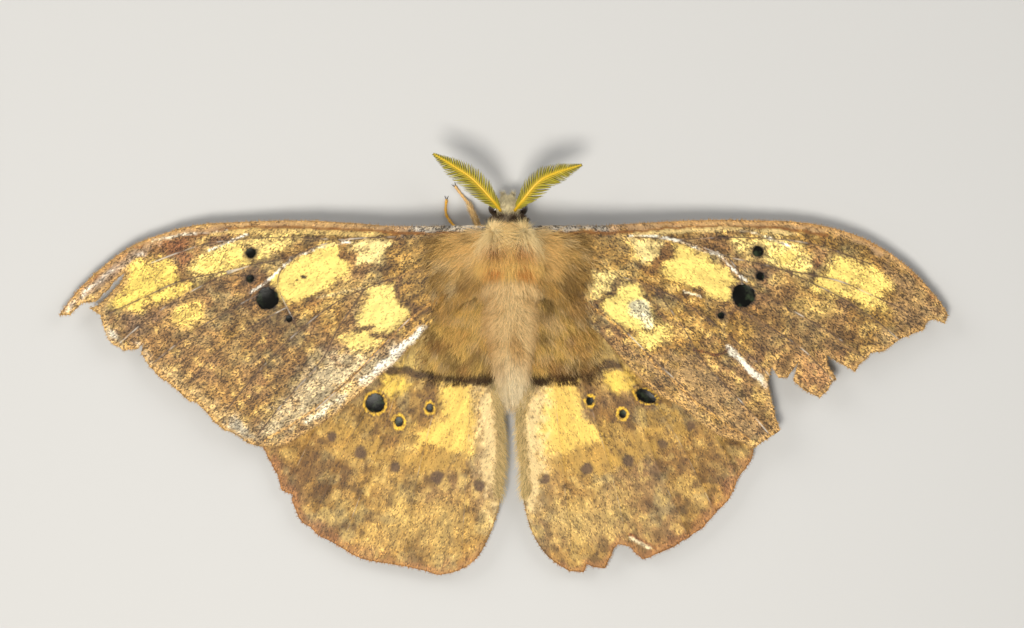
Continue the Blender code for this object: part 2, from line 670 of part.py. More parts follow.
def main():
    """Builds every node of the moth."""
    remove_everything()
    bpy.context.scene.collection.children.link(MOTH)
    wool = material("thorax_wool", (0.34, 0.16, 0.055), 0.9)
    cream = material("abdomen_wool", (0.52, 0.36, 0.2), 0.9)
    grey = material("collar_wool", (0.16, 0.1, 0.06), 0.9)
    scales = material("forewing_scales", (0.3, 0.2, 0.07), 0.7)
    ochre = material("hindwing_scales", (0.36, 0.22, 0.06), 0.7)
    feeler = material("feeler_yellow", (0.55, 0.38, 0.04), 0.6)
    shin = material("leg_hair", (0.4, 0.22, 0.08), 0.85)
    glassy = material("eye_dark", (0.012, 0.01, 0.008), 0.15)

    wing("forewing_left", FOREWING_LEFT, FOREWING_VEINS, forewing_height, scales)
    wing("forewing_right", FOREWING_RIGHT, mirrored(FOREWING_VEINS), forewing_height, scales)
    wing("hindwing_left", HINDWING_LEFT, HINDWING_VEINS, hindwing_height, ochre)
    wing("hindwing_right", HINDWING_RIGHT, mirrored(HINDWING_VEINS), hindwing_height, ochre)

    thorax = body_part("thorax", THORAX, wool)
    coat(thorax, THORAX, THORAX_ROWS, 1.5, thorax_style, 3)
    cutters = [leg(name, None, GAP) for name in LEGS]
    cutters.append(box("rear_cut", (-12, THORAX_BACK - 9, -2), (14, THORAX_BACK, 14)))
    for front, back, height in SOCKETS:
        for side in (-1, 1):
            near = axis_x(14.0) + side * SOCKET_X
            far = axis_x(14.0) + side * SOCKET_FAR
            low = (min(near, far), back - GAP, height - SOCKET_HEIGHT / 2)
            cutters.append(box("socket", low, (max(near, far), front + GAP, height + SOCKET_HEIGHT / 2)))
    combine(thorax, cutters, "DIFFERENCE")

    abdomen = body_part("abdomen", ABDOMEN, cream)
    coat(abdomen, ABDOMEN, ABDOMEN_ROWS, 1.6, abdomen_style, 5)
    combine(abdomen, [leg(name, None, GAP) for name in ("leg_hind_left", "leg_hind_right")], "DIFFERENCE")
    collar = body_part("collar", COLLAR, grey)
    coat(collar, COLLAR, COLLAR_ROWS, 1.05, collar_style, 7)

    head = body_part("head", HEAD, cream)
    coat(head, HEAD, HEAD_ROWS, 0.9, head_style, 11)
    cutters = []
    for side, word in ((-1, "left"), (1, "right")):
        place = EYE_PLACE.copy()
        place.x = axis_x(place.y) + side * EYE_PLACE.x
        ball("eye_" + word, place, EYE_RADIUS, glassy)
        cutters.append(ball("socket", place, EYE_RADIUS + GAP))
        path = [(axis_x(y) + side * x, y + 0.2, z) for x, y, z in PALP_PATH]
        tube("palp_" + word, path, (0.3, 0.42, 0.2), shin)
    combine(head, cutters, "DIFFERENCE")
    for name in LEGS:
        clawed_leg(name, shin)
    for name in ANTENNAE:
        antenna(name, feeler)


main()
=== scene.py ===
"""A life-size male silk moth, resting with its wings spread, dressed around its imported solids.

Every length in the classes below is in millimetres, in the frame of the solids: the head points to
+Y, +Z is up and z = 0 is the surface under the feet. MM turns them to metres where a mesh is made.
"""

from __future__ import annotations

import logging
import math
from dataclasses import dataclass, field
from enum import Enum

import bpy
import numpy as np
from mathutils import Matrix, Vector, geometry

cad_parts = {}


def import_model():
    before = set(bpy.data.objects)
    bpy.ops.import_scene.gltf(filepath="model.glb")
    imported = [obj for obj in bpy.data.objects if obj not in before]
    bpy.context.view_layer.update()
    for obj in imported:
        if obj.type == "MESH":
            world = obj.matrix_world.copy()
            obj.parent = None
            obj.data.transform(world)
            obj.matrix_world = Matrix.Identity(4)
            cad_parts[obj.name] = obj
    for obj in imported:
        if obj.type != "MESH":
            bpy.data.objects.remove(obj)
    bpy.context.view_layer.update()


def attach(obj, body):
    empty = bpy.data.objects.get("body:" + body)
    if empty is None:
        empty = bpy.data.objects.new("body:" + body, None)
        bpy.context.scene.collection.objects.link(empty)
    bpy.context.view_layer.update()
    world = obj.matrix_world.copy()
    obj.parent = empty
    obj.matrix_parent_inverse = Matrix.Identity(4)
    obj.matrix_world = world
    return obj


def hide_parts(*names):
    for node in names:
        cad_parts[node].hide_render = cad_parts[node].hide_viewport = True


MM = 0.001
LOG = logging.getLogger("moth")

# The long axis of the body seen from above: its place at y = 0 and its lean to the left forwards.
AXIS_X = 1.1
AXIS_LEAN = 0.025

Array = np.ndarray
Path = tuple[tuple[float, ...], ...]

UP = (0.0, 0.0, 1.0)
CHITIN_IOR = 1.56
BRIGHTEST_TONE = 0.93


class Side(Enum):
    """The moth's left and right, as signs along X."""

    LEFT = -1
    RIGHT = 1


# Small helpers for numbers, curves and patterns


def linear(hex_colour: str) -> Array:
    """Turns an sRGB hex value to linear red, green and blue.

    Args:
        hex_colour: Six hex digits after a hash sign.

    Returns:
        Three linear values.
    """
    srgb = np.array([int(hex_colour[k : k + 2], 16) / 255 for k in (1, 3, 5)])
    return np.where(srgb <= 0.04045, srgb / 12.92, ((srgb + 0.055) / 1.055) ** 2.4)


def axis_x(y: Array | float) -> Array | float:
    """The body axis's x at this y."""
    return AXIS_X - AXIS_LEAN * y


def spline(points: Path | Array, step: float) -> Array:
    """Points about a step apart on a smooth curve through the given ones.

    Args:
        points: The points of the curve, of any dimension.
        step: The spacing to aim at.

    Returns:
        One row for each point, both ends kept.
    """
    knots = np.asarray(points, float)
    knots = np.vstack([2 * knots[0] - knots[1], knots, 2 * knots[-1] - knots[-2]])
    rows = [knots[1:2]]
    for a, b, c, d in zip(knots, knots[1:], knots[2:], knots[3:]):
        t = np.linspace(0, 1, max(2, round(np.linalg.norm(c - b) / step) + 1))[1:, None]
        cubic = (3 * b - a - 3 * c + d) * t**3 + (2 * a - 5 * b + 4 * c - d) * t**2
        rows.append(0.5 * (cubic + (c - a) * t + 2 * b))
    return np.vstack(rows)


def run_along(line: Array) -> Array:
    """How far along a line each of its points lies."""
    return np.concatenate([[0], np.cumsum(np.linalg.norm(np.diff(line, axis=0), axis=1))])


def at_run(spots: Array | float, run: Array, line: Array) -> Array:
    """The places on a line at these distances along it, or at one."""
    return np.stack([np.interp(spots, run, line[:, k]) for k in range(line.shape[1])], axis=-1)


def value_noise(points: Array, size: float, seed: int) -> Array:
    """Smooth noise from 0 to 1 over the plane.

    Args:
        points: Places, one row each; the first two columns are read.
        size: How wide its blotches are.
        seed: Which noise.

    Returns:
        One value for each place.
    """
    u, v = points[:, 0] / size + seed * 17.3, points[:, 1] / size - seed * 9.1
    i, j = np.floor(u), np.floor(v)
    s, t = u - i, v - j
    s, t = s * s * (3 - 2 * s), t * t * (3 - 2 * t)

    def corner(a: Array, b: Array) -> Array:
        """A fixed random value for each lattice corner."""
        mixed = np.sin(a * 127.1 + b * 311.7 + seed * 74.7) * 43758.5453
        return mixed - np.floor(mixed)

    low = corner(i, j) * (1 - s) + corner(i + 1, j) * s
    high = corner(i, j + 1) * (1 - s) + corner(i + 1, j + 1) * s
    return low * (1 - t) + high * t


def layered_noise(points: Array, size: float, seed: int, layers: int = 3) -> Array:
    """Noise of several sizes, each half as wide and strong as the one before.

    Args:
        points: Places, one row each.
        size: The widest blotches.
        seed: Which noise.
        layers: How many sizes.

    Returns:
        One value from 0 to 1 for each place.
    """
    weights = [0.5**k for k in range(layers)]
    found = sum(w * value_noise(points, size * w, seed + k) for k, w in enumerate(weights))
    return found / sum(weights)


def smooth(values: Array, low: float, high: float) -> Array:
    """A smooth step from 0 at low to 1 at high."""
    t = np.clip((values - low) / (high - low), 0, 1)
    return t * t * (3 - 2 * t)


def line_distance(points: Array, line: Path | Array) -> Array:
    """How far each place lies from a line of points.

    Args:
        points: Places in the plane.
        line: The line's points in order.

    Returns:
        One distance for each place.
    """
    line = np.asarray(line, float)
    best = np.full(len(points), 1e9)
    for a, b in zip(line, line[1:]):
        along = b - a
        t = np.clip((points - a) @ along / max(along @ along, 1e-12), 0, 1)
        best = np.minimum(best, np.linalg.norm(points - a - t[:, None] * along, axis=1))
    return best


def inside(points: Array, outline: Path | Array) -> Array:
    """Which places lie within a closed outline.

    Args:
        points: Places in the plane.
        outline: The outline's corners in order.

    Returns:
        True or False for each place.
    """
    outline = np.asarray(outline, float)
    found = np.zeros(len(points), bool)
    for a, b in zip(outline, np.roll(outline, -1, axis=0)):
        spans = (a[1] > points[:, 1]) != (b[1] > points[:, 1])
        rise = b[1] - a[1] if b[1] != a[1] else 1e-12
        found ^= spans & (points[:, 0] < a[0] + (b[0] - a[0]) * (points[:, 1] - a[1]) / rise)
    return found


def patch(points: Array, outline: Path, soft: float) -> Array:
    """How far each place is in a patch: 1 well inside, 0 outside, with a soft edge.

    Args:
        points: Places in the plane.
        outline: The patch's corners.
        soft: Half the width of its edge.

    Returns:
        A value from 0 to 1 for each place.
    """
    distance = line_distance(points, [*outline, outline[0]])
    return smooth(np.where(inside(points, outline), distance, -distance), -soft, soft)


def blend(base: Array, colour: Array | str, amount: Array | float) -> Array:
    """Lays a linear colour, or a hex one, over a base by one amount or one for each row."""
    colour = linear(colour) if isinstance(colour, str) else colour
    amount = np.broadcast_to(amount, len(base))[:, None]
    return base * (1 - amount) + colour * amount


def plain(colour: str, count: int) -> Array:
    """Rows of one hex colour, turned linear."""
    return np.tile(linear(colour), (count, 1))


def unit(vectors: Array) -> Array:
    """The same directions with length 1."""
    return vectors / np.maximum(np.linalg.norm(vectors, axis=-1, keepdims=True), 1e-9)


# Meshes


def mesh_object(name: str, points: Array, faces: Array,
                material: bpy.types.Material) -> bpy.types.Object:
    """Makes an object in the scene from points in millimetres.

    Args:
        name: The piece's name.
        points: One row for each vertex.
        faces: One row of vertex numbers for each triangle or quad.
        material: Its finish.

    Returns:
        The object, shaded smooth.
    """
    mesh = bpy.data.meshes.new(name)
    count, corners = faces.shape
    mesh.vertices.add(len(points))
    mesh.vertices.foreach_set("co", (points * MM).astype(np.float32).ravel())
    mesh.loops.add(count * corners)
    mesh.loops.foreach_set("vertex_index", faces.astype(np.int32).ravel())
    mesh.polygons.add(count)
    mesh.polygons.foreach_set("loop_start", np.arange(0, count * corners, corners, dtype=np.int32))
    mesh.update(calc_edges=True)
    mesh.validate()
    mesh.shade_smooth()
    mesh.materials.append(material)
    made = bpy.data.objects.new(name, mesh)
    bpy.context.scene.collection.objects.link(made)
    return made


def paint(piece: bpy.types.Object, colours: Array) -> None:
    """Stores a linear tone for each vertex, the brightest scaled down so that they keep their hue."""
    colours = np.maximum(colours, 0)
    colours = colours / np.maximum(colours.max(axis=1, keepdims=True) / BRIGHTEST_TONE, 1)
    layer = piece.data.color_attributes.new("tone", "FLOAT_COLOR", "POINT")
    rgba = np.ones((len(colours), 4), np.float32)
    rgba[:, :3] = colours
    layer.data.foreach_set("color", rgba.ravel())


def loop_vertices(piece: bpy.types.Object) -> Array:
    """The vertex number at each corner of a piece's faces."""
    vertices = np.empty(len(piece.data.loops), np.int32)
    piece.data.loops.foreach_get("vertex_index", vertices)
    return vertices


def set_map(piece: bpy.types.Object, flat: Array) -> None:
    """Stores where each corner of a piece's faces lies in the map OFBake."""
    layer = piece.data.uv_layers.new(name="OFBake")
    layer.data.foreach_set("uv", flat.astype(np.float32).ravel())


def tube_faces(rows: int, around: int) -> Array:
    """Triangles of a tube of rings, closed by the two points that come after them.

    Args:
        rows: How many rings there are.
        around: How many points each has.

    Returns:
        One row of vertex numbers for each triangle.
    """
    here = np.arange(around)
    after = (here + 1) % around
    faces = []
    for row in range(rows - 1):
        low, high = row * around, (row + 1) * around
        faces.append(np.stack([low + here, high + here, high + after], axis=1))
        faces.append(np.stack([low + here, high + after, low + after], axis=1))
    last, end = (rows - 1) * around, rows * around
    faces.append(np.stack([here, after, np.full(around, end)], axis=1))
    faces.append(np.stack([last + after, last + here, np.full(around, end + 1)], axis=1))
    return np.vstack(faces)


def store(piece: bpy.types.Object, name: str, values: Array) -> None:
    """Stores one number or one vector for each vertex."""
    kind, key = ("FLOAT", "value") if values.ndim == 1 else ("FLOAT_VECTOR", "vector")
    layer = piece.data.attributes.new(name, kind, "POINT")
    layer.data.foreach_set(key, values.astype(np.float32).ravel())


# Finishes


def add_node(tree: bpy.types.NodeTree, kind: str, settings: dict | None = None,
             **links: object) -> bpy.types.Node:
    """Adds a node with its settings and what feeds it.

    Args:
        tree: The material's node tree.
        kind: The node's type, without ShaderNode.
        settings: Values for the node's own properties.
        **links: For each input, named with underscores for spaces or numbered as in_0, either a
            socket to link or a value to set.

    Returns:
        The new node.
    """
    node = tree.nodes.new("ShaderNode" + kind)
    for key, value in (settings or {}).items():
        setattr(node, key, value)
    for key, value in links.items():
        place = int(key[3:]) if key.startswith("in_") else key.replace("_", " ")
        target = node.inputs[place]
        if isinstance(value, bpy.types.NodeSocket):
            tree.links.new(value, target)
        else:
            target.default_value = value
    return node


def new_material(name: str) -> tuple[bpy.types.Material, bpy.types.NodeTree, bpy.types.Node]:
    """Makes a material and gives it back with its tree and its Principled shader."""
    made = bpy.data.materials.new(name)
    made.use_nodes = True
    return made, made.node_tree, made.node_tree.nodes["Principled BSDF"]


@dataclass(frozen=True)
class WingScales:
    """Chitin scales laid like roof tiles: a dry, powdery surface that scatters light widely.

    The scales are 0.1 mm long, so single ones show as specks that darken or lighten the tone painted
    on the wing, drawn out along the run of its veins. dark and light multiply that tone, vein is the
    colour over a vein, and rubbed_vein the colour where its scales have gone.
    """

    name: str = "wing_scales"
    speck_mm: float = 0.135
    tile_mm: float = 0.12
    dark: tuple[float, float, float] = (0.25, 0.21, 0.17)
    light: tuple[float, float, float] = (1.95, 1.9, 1.75)
    vein: str = "#4b3626"
    rubbed_vein: str = "#ece3d0"
    roughness: float = 0.62

    def build(self) -> bpy.types.Material:
        """Makes the material from the painted tone, the specks in it and the distance to the veins."""
        made, tree, shader = new_material(self.name)
        tone, speck, vein, grain = (
            add_node(tree, "Attribute", {"attribute_name": name})
            for name in ("tone", "speck", "vein", "grain")
        )
        place = add_node(tree, "TexCoord").outputs["Object"]
        rough = add_node(tree, "TexNoise", {}, Vector=grain.outputs["Vector"], Scale=1 / self.tile_mm,
                         Detail=1.0)
        cells = add_node(tree, "TexVoronoi", {}, Vector=grain.outputs["Vector"],
                         Scale=1 / self.speck_mm, Randomness=1.0)
        random = add_node(tree, "SeparateColor", {}, Color=cells.outputs["Color"])
        both = add_node(tree, "Math", {"operation": "ADD"}, in_0=rough.outputs[0],
                        in_1=random.outputs[2])
        sparse = add_node(tree, "Math", {"operation": "MULTIPLY_ADD"}, in_0=speck.outputs["Fac"],
                          in_1=0.36, in_2=-0.36)
        colour = tone.outputs["Color"]
        calm = add_node(tree, "MapRange", {}, Value=speck.outputs["Fac"], To_Min=0.4, To_Max=1.0)
        for channel, low, most, tint in ((0, 0.48, 0.9, self.dark), (1, 0.62, 0.85, self.light)):
            shifted = add_node(tree, "Math", {}, in_0=random.outputs[channel], in_1=sparse.outputs[0])
            some = add_node(tree, "MapRange", {}, Value=shifted.outputs[0], From_Min=low,
                            From_Max=low + 0.24, To_Max=most)
            share = add_node(tree, "Math", {"operation": "MULTIPLY"}, in_0=some.outputs[0],
                             in_1=calm.outputs[0])
            settings = {"data_type": "RGBA", "blend_type": "MULTIPLY"}
            turned = add_node(tree, "Mix", settings, in_0=1.0, in_6=tone.outputs["Color"],
                              in_7=(*tint, 1.0))
            colour = self.lay(tree, colour, share, turned.outputs[2])
        line = add_node(tree, "MapRange", {}, Value=vein.outputs["Fac"], From_Min=0.03, From_Max=0.13,
                        To_Min=1.0, To_Max=0.0)
        runs = ((0.0, 0.38, 0.85, self.vein), (0.3, 0.53, 0.48, self.rubbed_vein))
        for shift, low, most, tint in runs:
            moved = add_node(tree, "VectorMath", {}, in_0=place, in_1=(shift, shift, 0))
            noise = add_node(tree, "TexNoise", {}, Vector=moved.outputs[0], Scale=330.0, Detail=8.0)
            part = add_node(tree, "MapRange", {}, Value=noise.outputs[0], From_Min=low,
                            From_Max=low + 0.12, To_Max=most)
            share = add_node(tree, "Math", {"operation": "MULTIPLY"}, in_0=line.outputs[0],
                             in_1=part.outputs[0])
            colour = self.lay(tree, colour, share, (*linear(tint), 1.0))
        bump = add_node(tree, "Bump", {}, Strength=0.6, Distance=0.00007, Height=both.outputs[0])
        tree.links.new(colour, shader.inputs["Base Color"])
        tree.links.new(bump.outputs[0], shader.inputs["Normal"])
        shader.inputs["Roughness"].default_value = self.roughness
        shader.inputs["IOR"].default_value = CHITIN_IOR
        shader.inputs["Specular IOR Level"].default_value = 0.35
        return made

    @staticmethod
    def lay(
        tree: bpy.types.NodeTree, colour: bpy.types.NodeSocket, share: bpy.types.Node, over: object
    ) -> bpy.types.NodeSocket:
        """Lays a second colour over a first by a node's first output."""
        settings = {"data_type": "RGBA"}
        return add_node(tree, "Mix", settings, in_0=share.outputs[0], in_6=colour, in_7=over).outputs[2]


@dataclass(frozen=True)
class Wool:
    """Long hair scales of chitin, drawn as fine tapered strands: soft and dull, with a silky glint.

    sheen is the strength of that glint.
    """

    name: str
    roughness: float = 0.6
    sheen: float = 0.04

    def build(self) -> bpy.types.Material:
        """Makes the material from the tone painted on each strand."""
        made, tree, shader = new_material(self.name)
        tone = add_node(tree, "Attribute", {"attribute_name": "tone"})
        tree.links.new(tone.outputs["Color"], shader.inputs["Base Color"])
        shader.inputs["Roughness"].default_value = self.roughness
        shader.inputs["Specular IOR Level"].default_value = 0.28
        shader.inputs["Sheen Weight"].default_value = self.sheen
        shader.inputs["Sheen Roughness"].default_value = 0.45
        return made


@dataclass(frozen=True)
class Cuticle:
    """Bare chitin: firm, satin to glossy, mottled between two colours with a small grain.

    grain_mm is how wide the mottles are, depth_mm how deep the grain is and bump how strongly it
    shows. turn is the stretch of the noise over which the first colour becomes the second.
    """

    name: str
    colours: tuple[str, str]
    roughness: float
    grain_mm: float
    depth_mm: float = 0.04
    bump: float = 0.3
    turn: tuple[float, float] = (0.0, 1.0)
    specular: float = 0.5
    coat: float = 0.0

    def pattern(self, tree: bpy.types.NodeTree, place: bpy.types.NodeSocket) -> bpy.types.NodeSocket:
        """The noise that both the colour and the relief follow."""
        scale = 1 / (self.grain_mm * MM)
        return add_node(tree, "TexNoise", {}, Vector=place, Scale=scale, Detail=3.0).outputs[0]

    def build(self) -> bpy.types.Material:
        """Makes the material."""
        made, tree, shader = new_material(self.name)
        pattern = self.pattern(tree, add_node(tree, "TexCoord").outputs["Object"])
        low, high = self.turn
        share = add_node(tree, "MapRange", {}, Value=pattern, From_Min=low, From_Max=high)
        first, second = ((*linear(colour), 1.0) for colour in self.colours)
        mixed = add_node(
            tree, "Mix", {"data_type": "RGBA"}, in_0=share.outputs[0], in_6=first, in_7=second
        )
        depth = self.depth_mm * MM
        bump = add_node(tree, "Bump", {}, Strength=self.bump, Distance=depth, Height=pattern)
        tree.links.new(mixed.outputs[2], shader.inputs["Base Color"])
        tree.links.new(bump.outputs[0], shader.inputs["Normal"])
        shader.inputs["Roughness"].default_value = self.roughness
        shader.inputs["IOR"].default_value = CHITIN_IOR
        shader.inputs["Specular IOR Level"].default_value = self.specular
        shader.inputs["Coat Weight"].default_value = self.coat
        return made


@dataclass(frozen=True)
class FacetedEye(Cuticle):
    """A compound eye: clear lenses in a hexagonal lattice over dark pigment, so it glints in points.

    Its facets are drawn twice their real width, so that they show.
    """

    def pattern(self, tree: bpy.types.NodeTree, place: bpy.types.NodeSocket) -> bpy.types.NodeSocket:
        """The distance from each facet's middle, turned over so that the middles stand out."""
        scale = 1 / (self.grain_mm * MM)
        cells = add_node(tree, "TexVoronoi", {}, Vector=place, Scale=scale, Randomness=0.25)
        settings = {"operation": "MULTIPLY"}
        return add_node(tree, "Math", settings, in_0=cells.outputs["Distance"], in_1=-1.0).outputs[0]


# Bare wing membrane is clear; its colours are painted shade, as dark as the shade under the wing seen
# through it, with faint wrinkles that break its glint.
MEMBRANE_IN_PAINTED_SHADE = Cuticle(
    "clear_membrane", ("#090907", "#323b29"), 0.3, 1 / 0.9, 0.1, 0.35, (0.5, 0.72), specular=0.1
)
CLAW = Cuticle("claw", ("#3a2415", "#1c110a"), 0.3, 0.2)
MIDRIB = Cuticle("feeler_midrib", ("#e2bb22", "#c79a1c"), 0.45, 0.25)
EYE = FacetedEye(
    "compound_eye", ("#120d0a", "#3a2a1e"), 0.16, 0.075, 0.03, 0.6, (-1.0, 0.0), coat=0.4
)


# Closed tapers: hairs, feeler branches, claws and limbs


def tapered(paths: Array, radii: Array, across: Array, corners: int) -> tuple[Array, Array]:
    """Points and faces of many closed tapers, each ending in a point.

    Args:
        paths: Their centre lines, as (taper, place, xyz).
        radii: The radius at each place but the last, as (taper, place).
        across: A direction square to each path, as (taper, xyz).
        corners: How many sides each has.

    Returns:
        The points as (taper, point, xyz) and the triangles of all of them.
    """
    count, places = paths.shape[:2]
    tangents = unit(np.gradient(paths, axis=1))
    across = across[:, None, :]
    side = unit(across - tangents * np.sum(across * tangents, axis=2, keepdims=True))
    up = np.cross(side, tangents)
    rings = []
    for place in range(places - 1):
        for corner in range(corners):
            turn = 2 * math.pi * corner / corners
            out = side[:, place] * math.cos(turn) + up[:, place] * math.sin(turn)
            rings.append(paths[:, place] + radii[:, place, None] * out)
    points = np.stack([*rings, paths[:, -1]], axis=1)
    faces = [(0, k + 1, k) for k in range(1, corners - 1)]
    for place in range(places - 2):
        for corner in range(corners):
            a, b = corners * place + corner, corners * place + (corner + 1) % corners
            faces += [(a, b, b + corners), (a, b + corners, a + corners)]
    last, tip = corners * (places - 2), points.shape[1] - 1
    faces += [(last + corner, last + (corner + 1) % corners, tip) for corner in range(corners)]
    stacked = np.array(faces)[None] + points.shape[1] * np.arange(count)[:, None, None]
    return points, stacked.reshape(-1, 3)


def map_tapers(piece: bpy.types.Object, places: Array, along: Array, corners: int) -> None:
    """Gives each taper its own small patch of the map OFBake, at its root's place.

    Args:
        piece: The piece made of tapers.
        places: Where each root lies on the unwrap, from 0 to 1 both ways.
        along: How far along its taper each point lies, from 0 to 1.
        corners: How many sides a taper has.
    """
    width = 0.003
    turn = (np.arange(len(along)) % corners) * 2 * math.pi / corners
    offsets = np.stack([np.cos(turn), np.sin(turn)], axis=1) * (width / 2) * (1 - 0.8 * along)[:, None]
    flat = (places[:, None, :] + offsets[None]).reshape(-1, 2)
    set_map(piece, np.clip(flat[loop_vertices(piece)], 0, 1))


def round_limb(ahead: Array, turn: Array) -> Array:
    """Directions out of a limb: square to its run at each place, turned round it by an angle."""
    flank = unit(np.cross(ahead, np.tile(UP, (len(ahead), 1))))
    return flank * np.cos(turn) + np.cross(flank, ahead) * np.sin(turn)


def limb_places(spots: Array, length: float, turn: Array) -> Array:
    """Where roots lie on a limb's flat unwrap: along its length, then round it."""
    return np.stack([0.05 + 0.9 * spots / length, 0.05 + 0.9 * turn[:, 0] / (2 * math.pi)], axis=1)


@dataclass(frozen=True)
class HairStyle:
    """How the tufts of one kind of coat look.

    pitches are the angles over the skin that a tuft's parts rise at, in degrees. spread is how
    untidily the tufts lie, sink how deep their roots are, root_shade how dark these are painted against
    the tips, as painted shade among the tufts, and vary how much one tuft's tone differs from the next
    one's.
    """

    length: float
    width: float = 0.075
    pitches: tuple[float, ...] = (34.0, 16.0, 4.0)
    spread: float = 0.16
    sink: float = 0.12
    root_shade: float = 0.6
    vary: float = 0.24


@dataclass
class Hair:
    """A field of solid tapered tufts, one row for each in every array.

    places holds where each root lies on an unwrap of the skin it grows from. reach scales the
    style's length, and no tuft's middle line goes lower than floor_mm.
    """

    roots: Array
    normals: Array
    lies: Array
    tones: Array
    places: Array
    style: HairStyle
    seed: int = 1
    floor_mm: float = 0.05
    reach: Array | float = 1.0

    def build(self, name: str, material: bpy.types.Material) -> bpy.types.Object:
        """Makes the tufts as one piece, each with its tone and its patch of the map.

        Args:
            name: The piece's name.
            material: The wool's finish.

        Returns:
            The piece.
        """
        rng = np.random.default_rng(self.seed)
        style, count = self.style, len(self.roots)
        parts, corners = len(style.pitches), 3
        normals = unit(self.normals)
        lies = self.lies - normals * np.sum(self.lies * normals, axis=1, keepdims=True)
        lies = unit(lies + rng.normal(0, style.spread, lies.shape))
        sides = unit(np.cross(lies, normals))
        lengths = style.length * rng.uniform(0.6, 1.3, count) * self.reach
        step = (lengths / parts)[:, None]
        place = self.roots - normals * style.sink
        path = [place]
        for pitch in style.pitches:
            tilt = np.radians(pitch + rng.normal(0, 8, count))[:, None]
            drift = sides * rng.normal(0, style.spread, (count, 1))
            place = place + step * unit(lies * np.cos(tilt) + normals * np.sin(tilt) + drift)
            path.append(place)
        paths = np.stack(path, axis=1)
        paths[..., 2] = np.maximum(paths[..., 2], self.floor_mm)
        widths = style.width * rng.uniform(0.75, 1.25, count)
        shape = np.linspace(1.0, 0.45, parts)
        points, faces = tapered(paths, widths[:, None] / 2 * shape[None], sides, corners)
        points[..., 2] = np.maximum(points[..., 2], self.floor_mm / 2)
        piece = mesh_object(name, points.reshape(-1, 3), faces, material)
        along = np.repeat(np.arange(parts + 1) / parts, [corners] * parts + [1])
        # Painted shade: each tuft is darker at its root, where the tufts shade each other, and a little
        # lighter at its tip.
        shade = style.root_shade + (1.06 - style.root_shade) * np.minimum(1.0, along * 1.7)
        vary = np.exp(rng.normal(0, style.vary, (count, 1, 1)))
        tones = self.tones[:, None, :] * shade[None, :, None] * vary
        paint(piece, tones.reshape(-1, 3))
        map_tapers(piece, self.places, along, corners)
        return piece


# The body


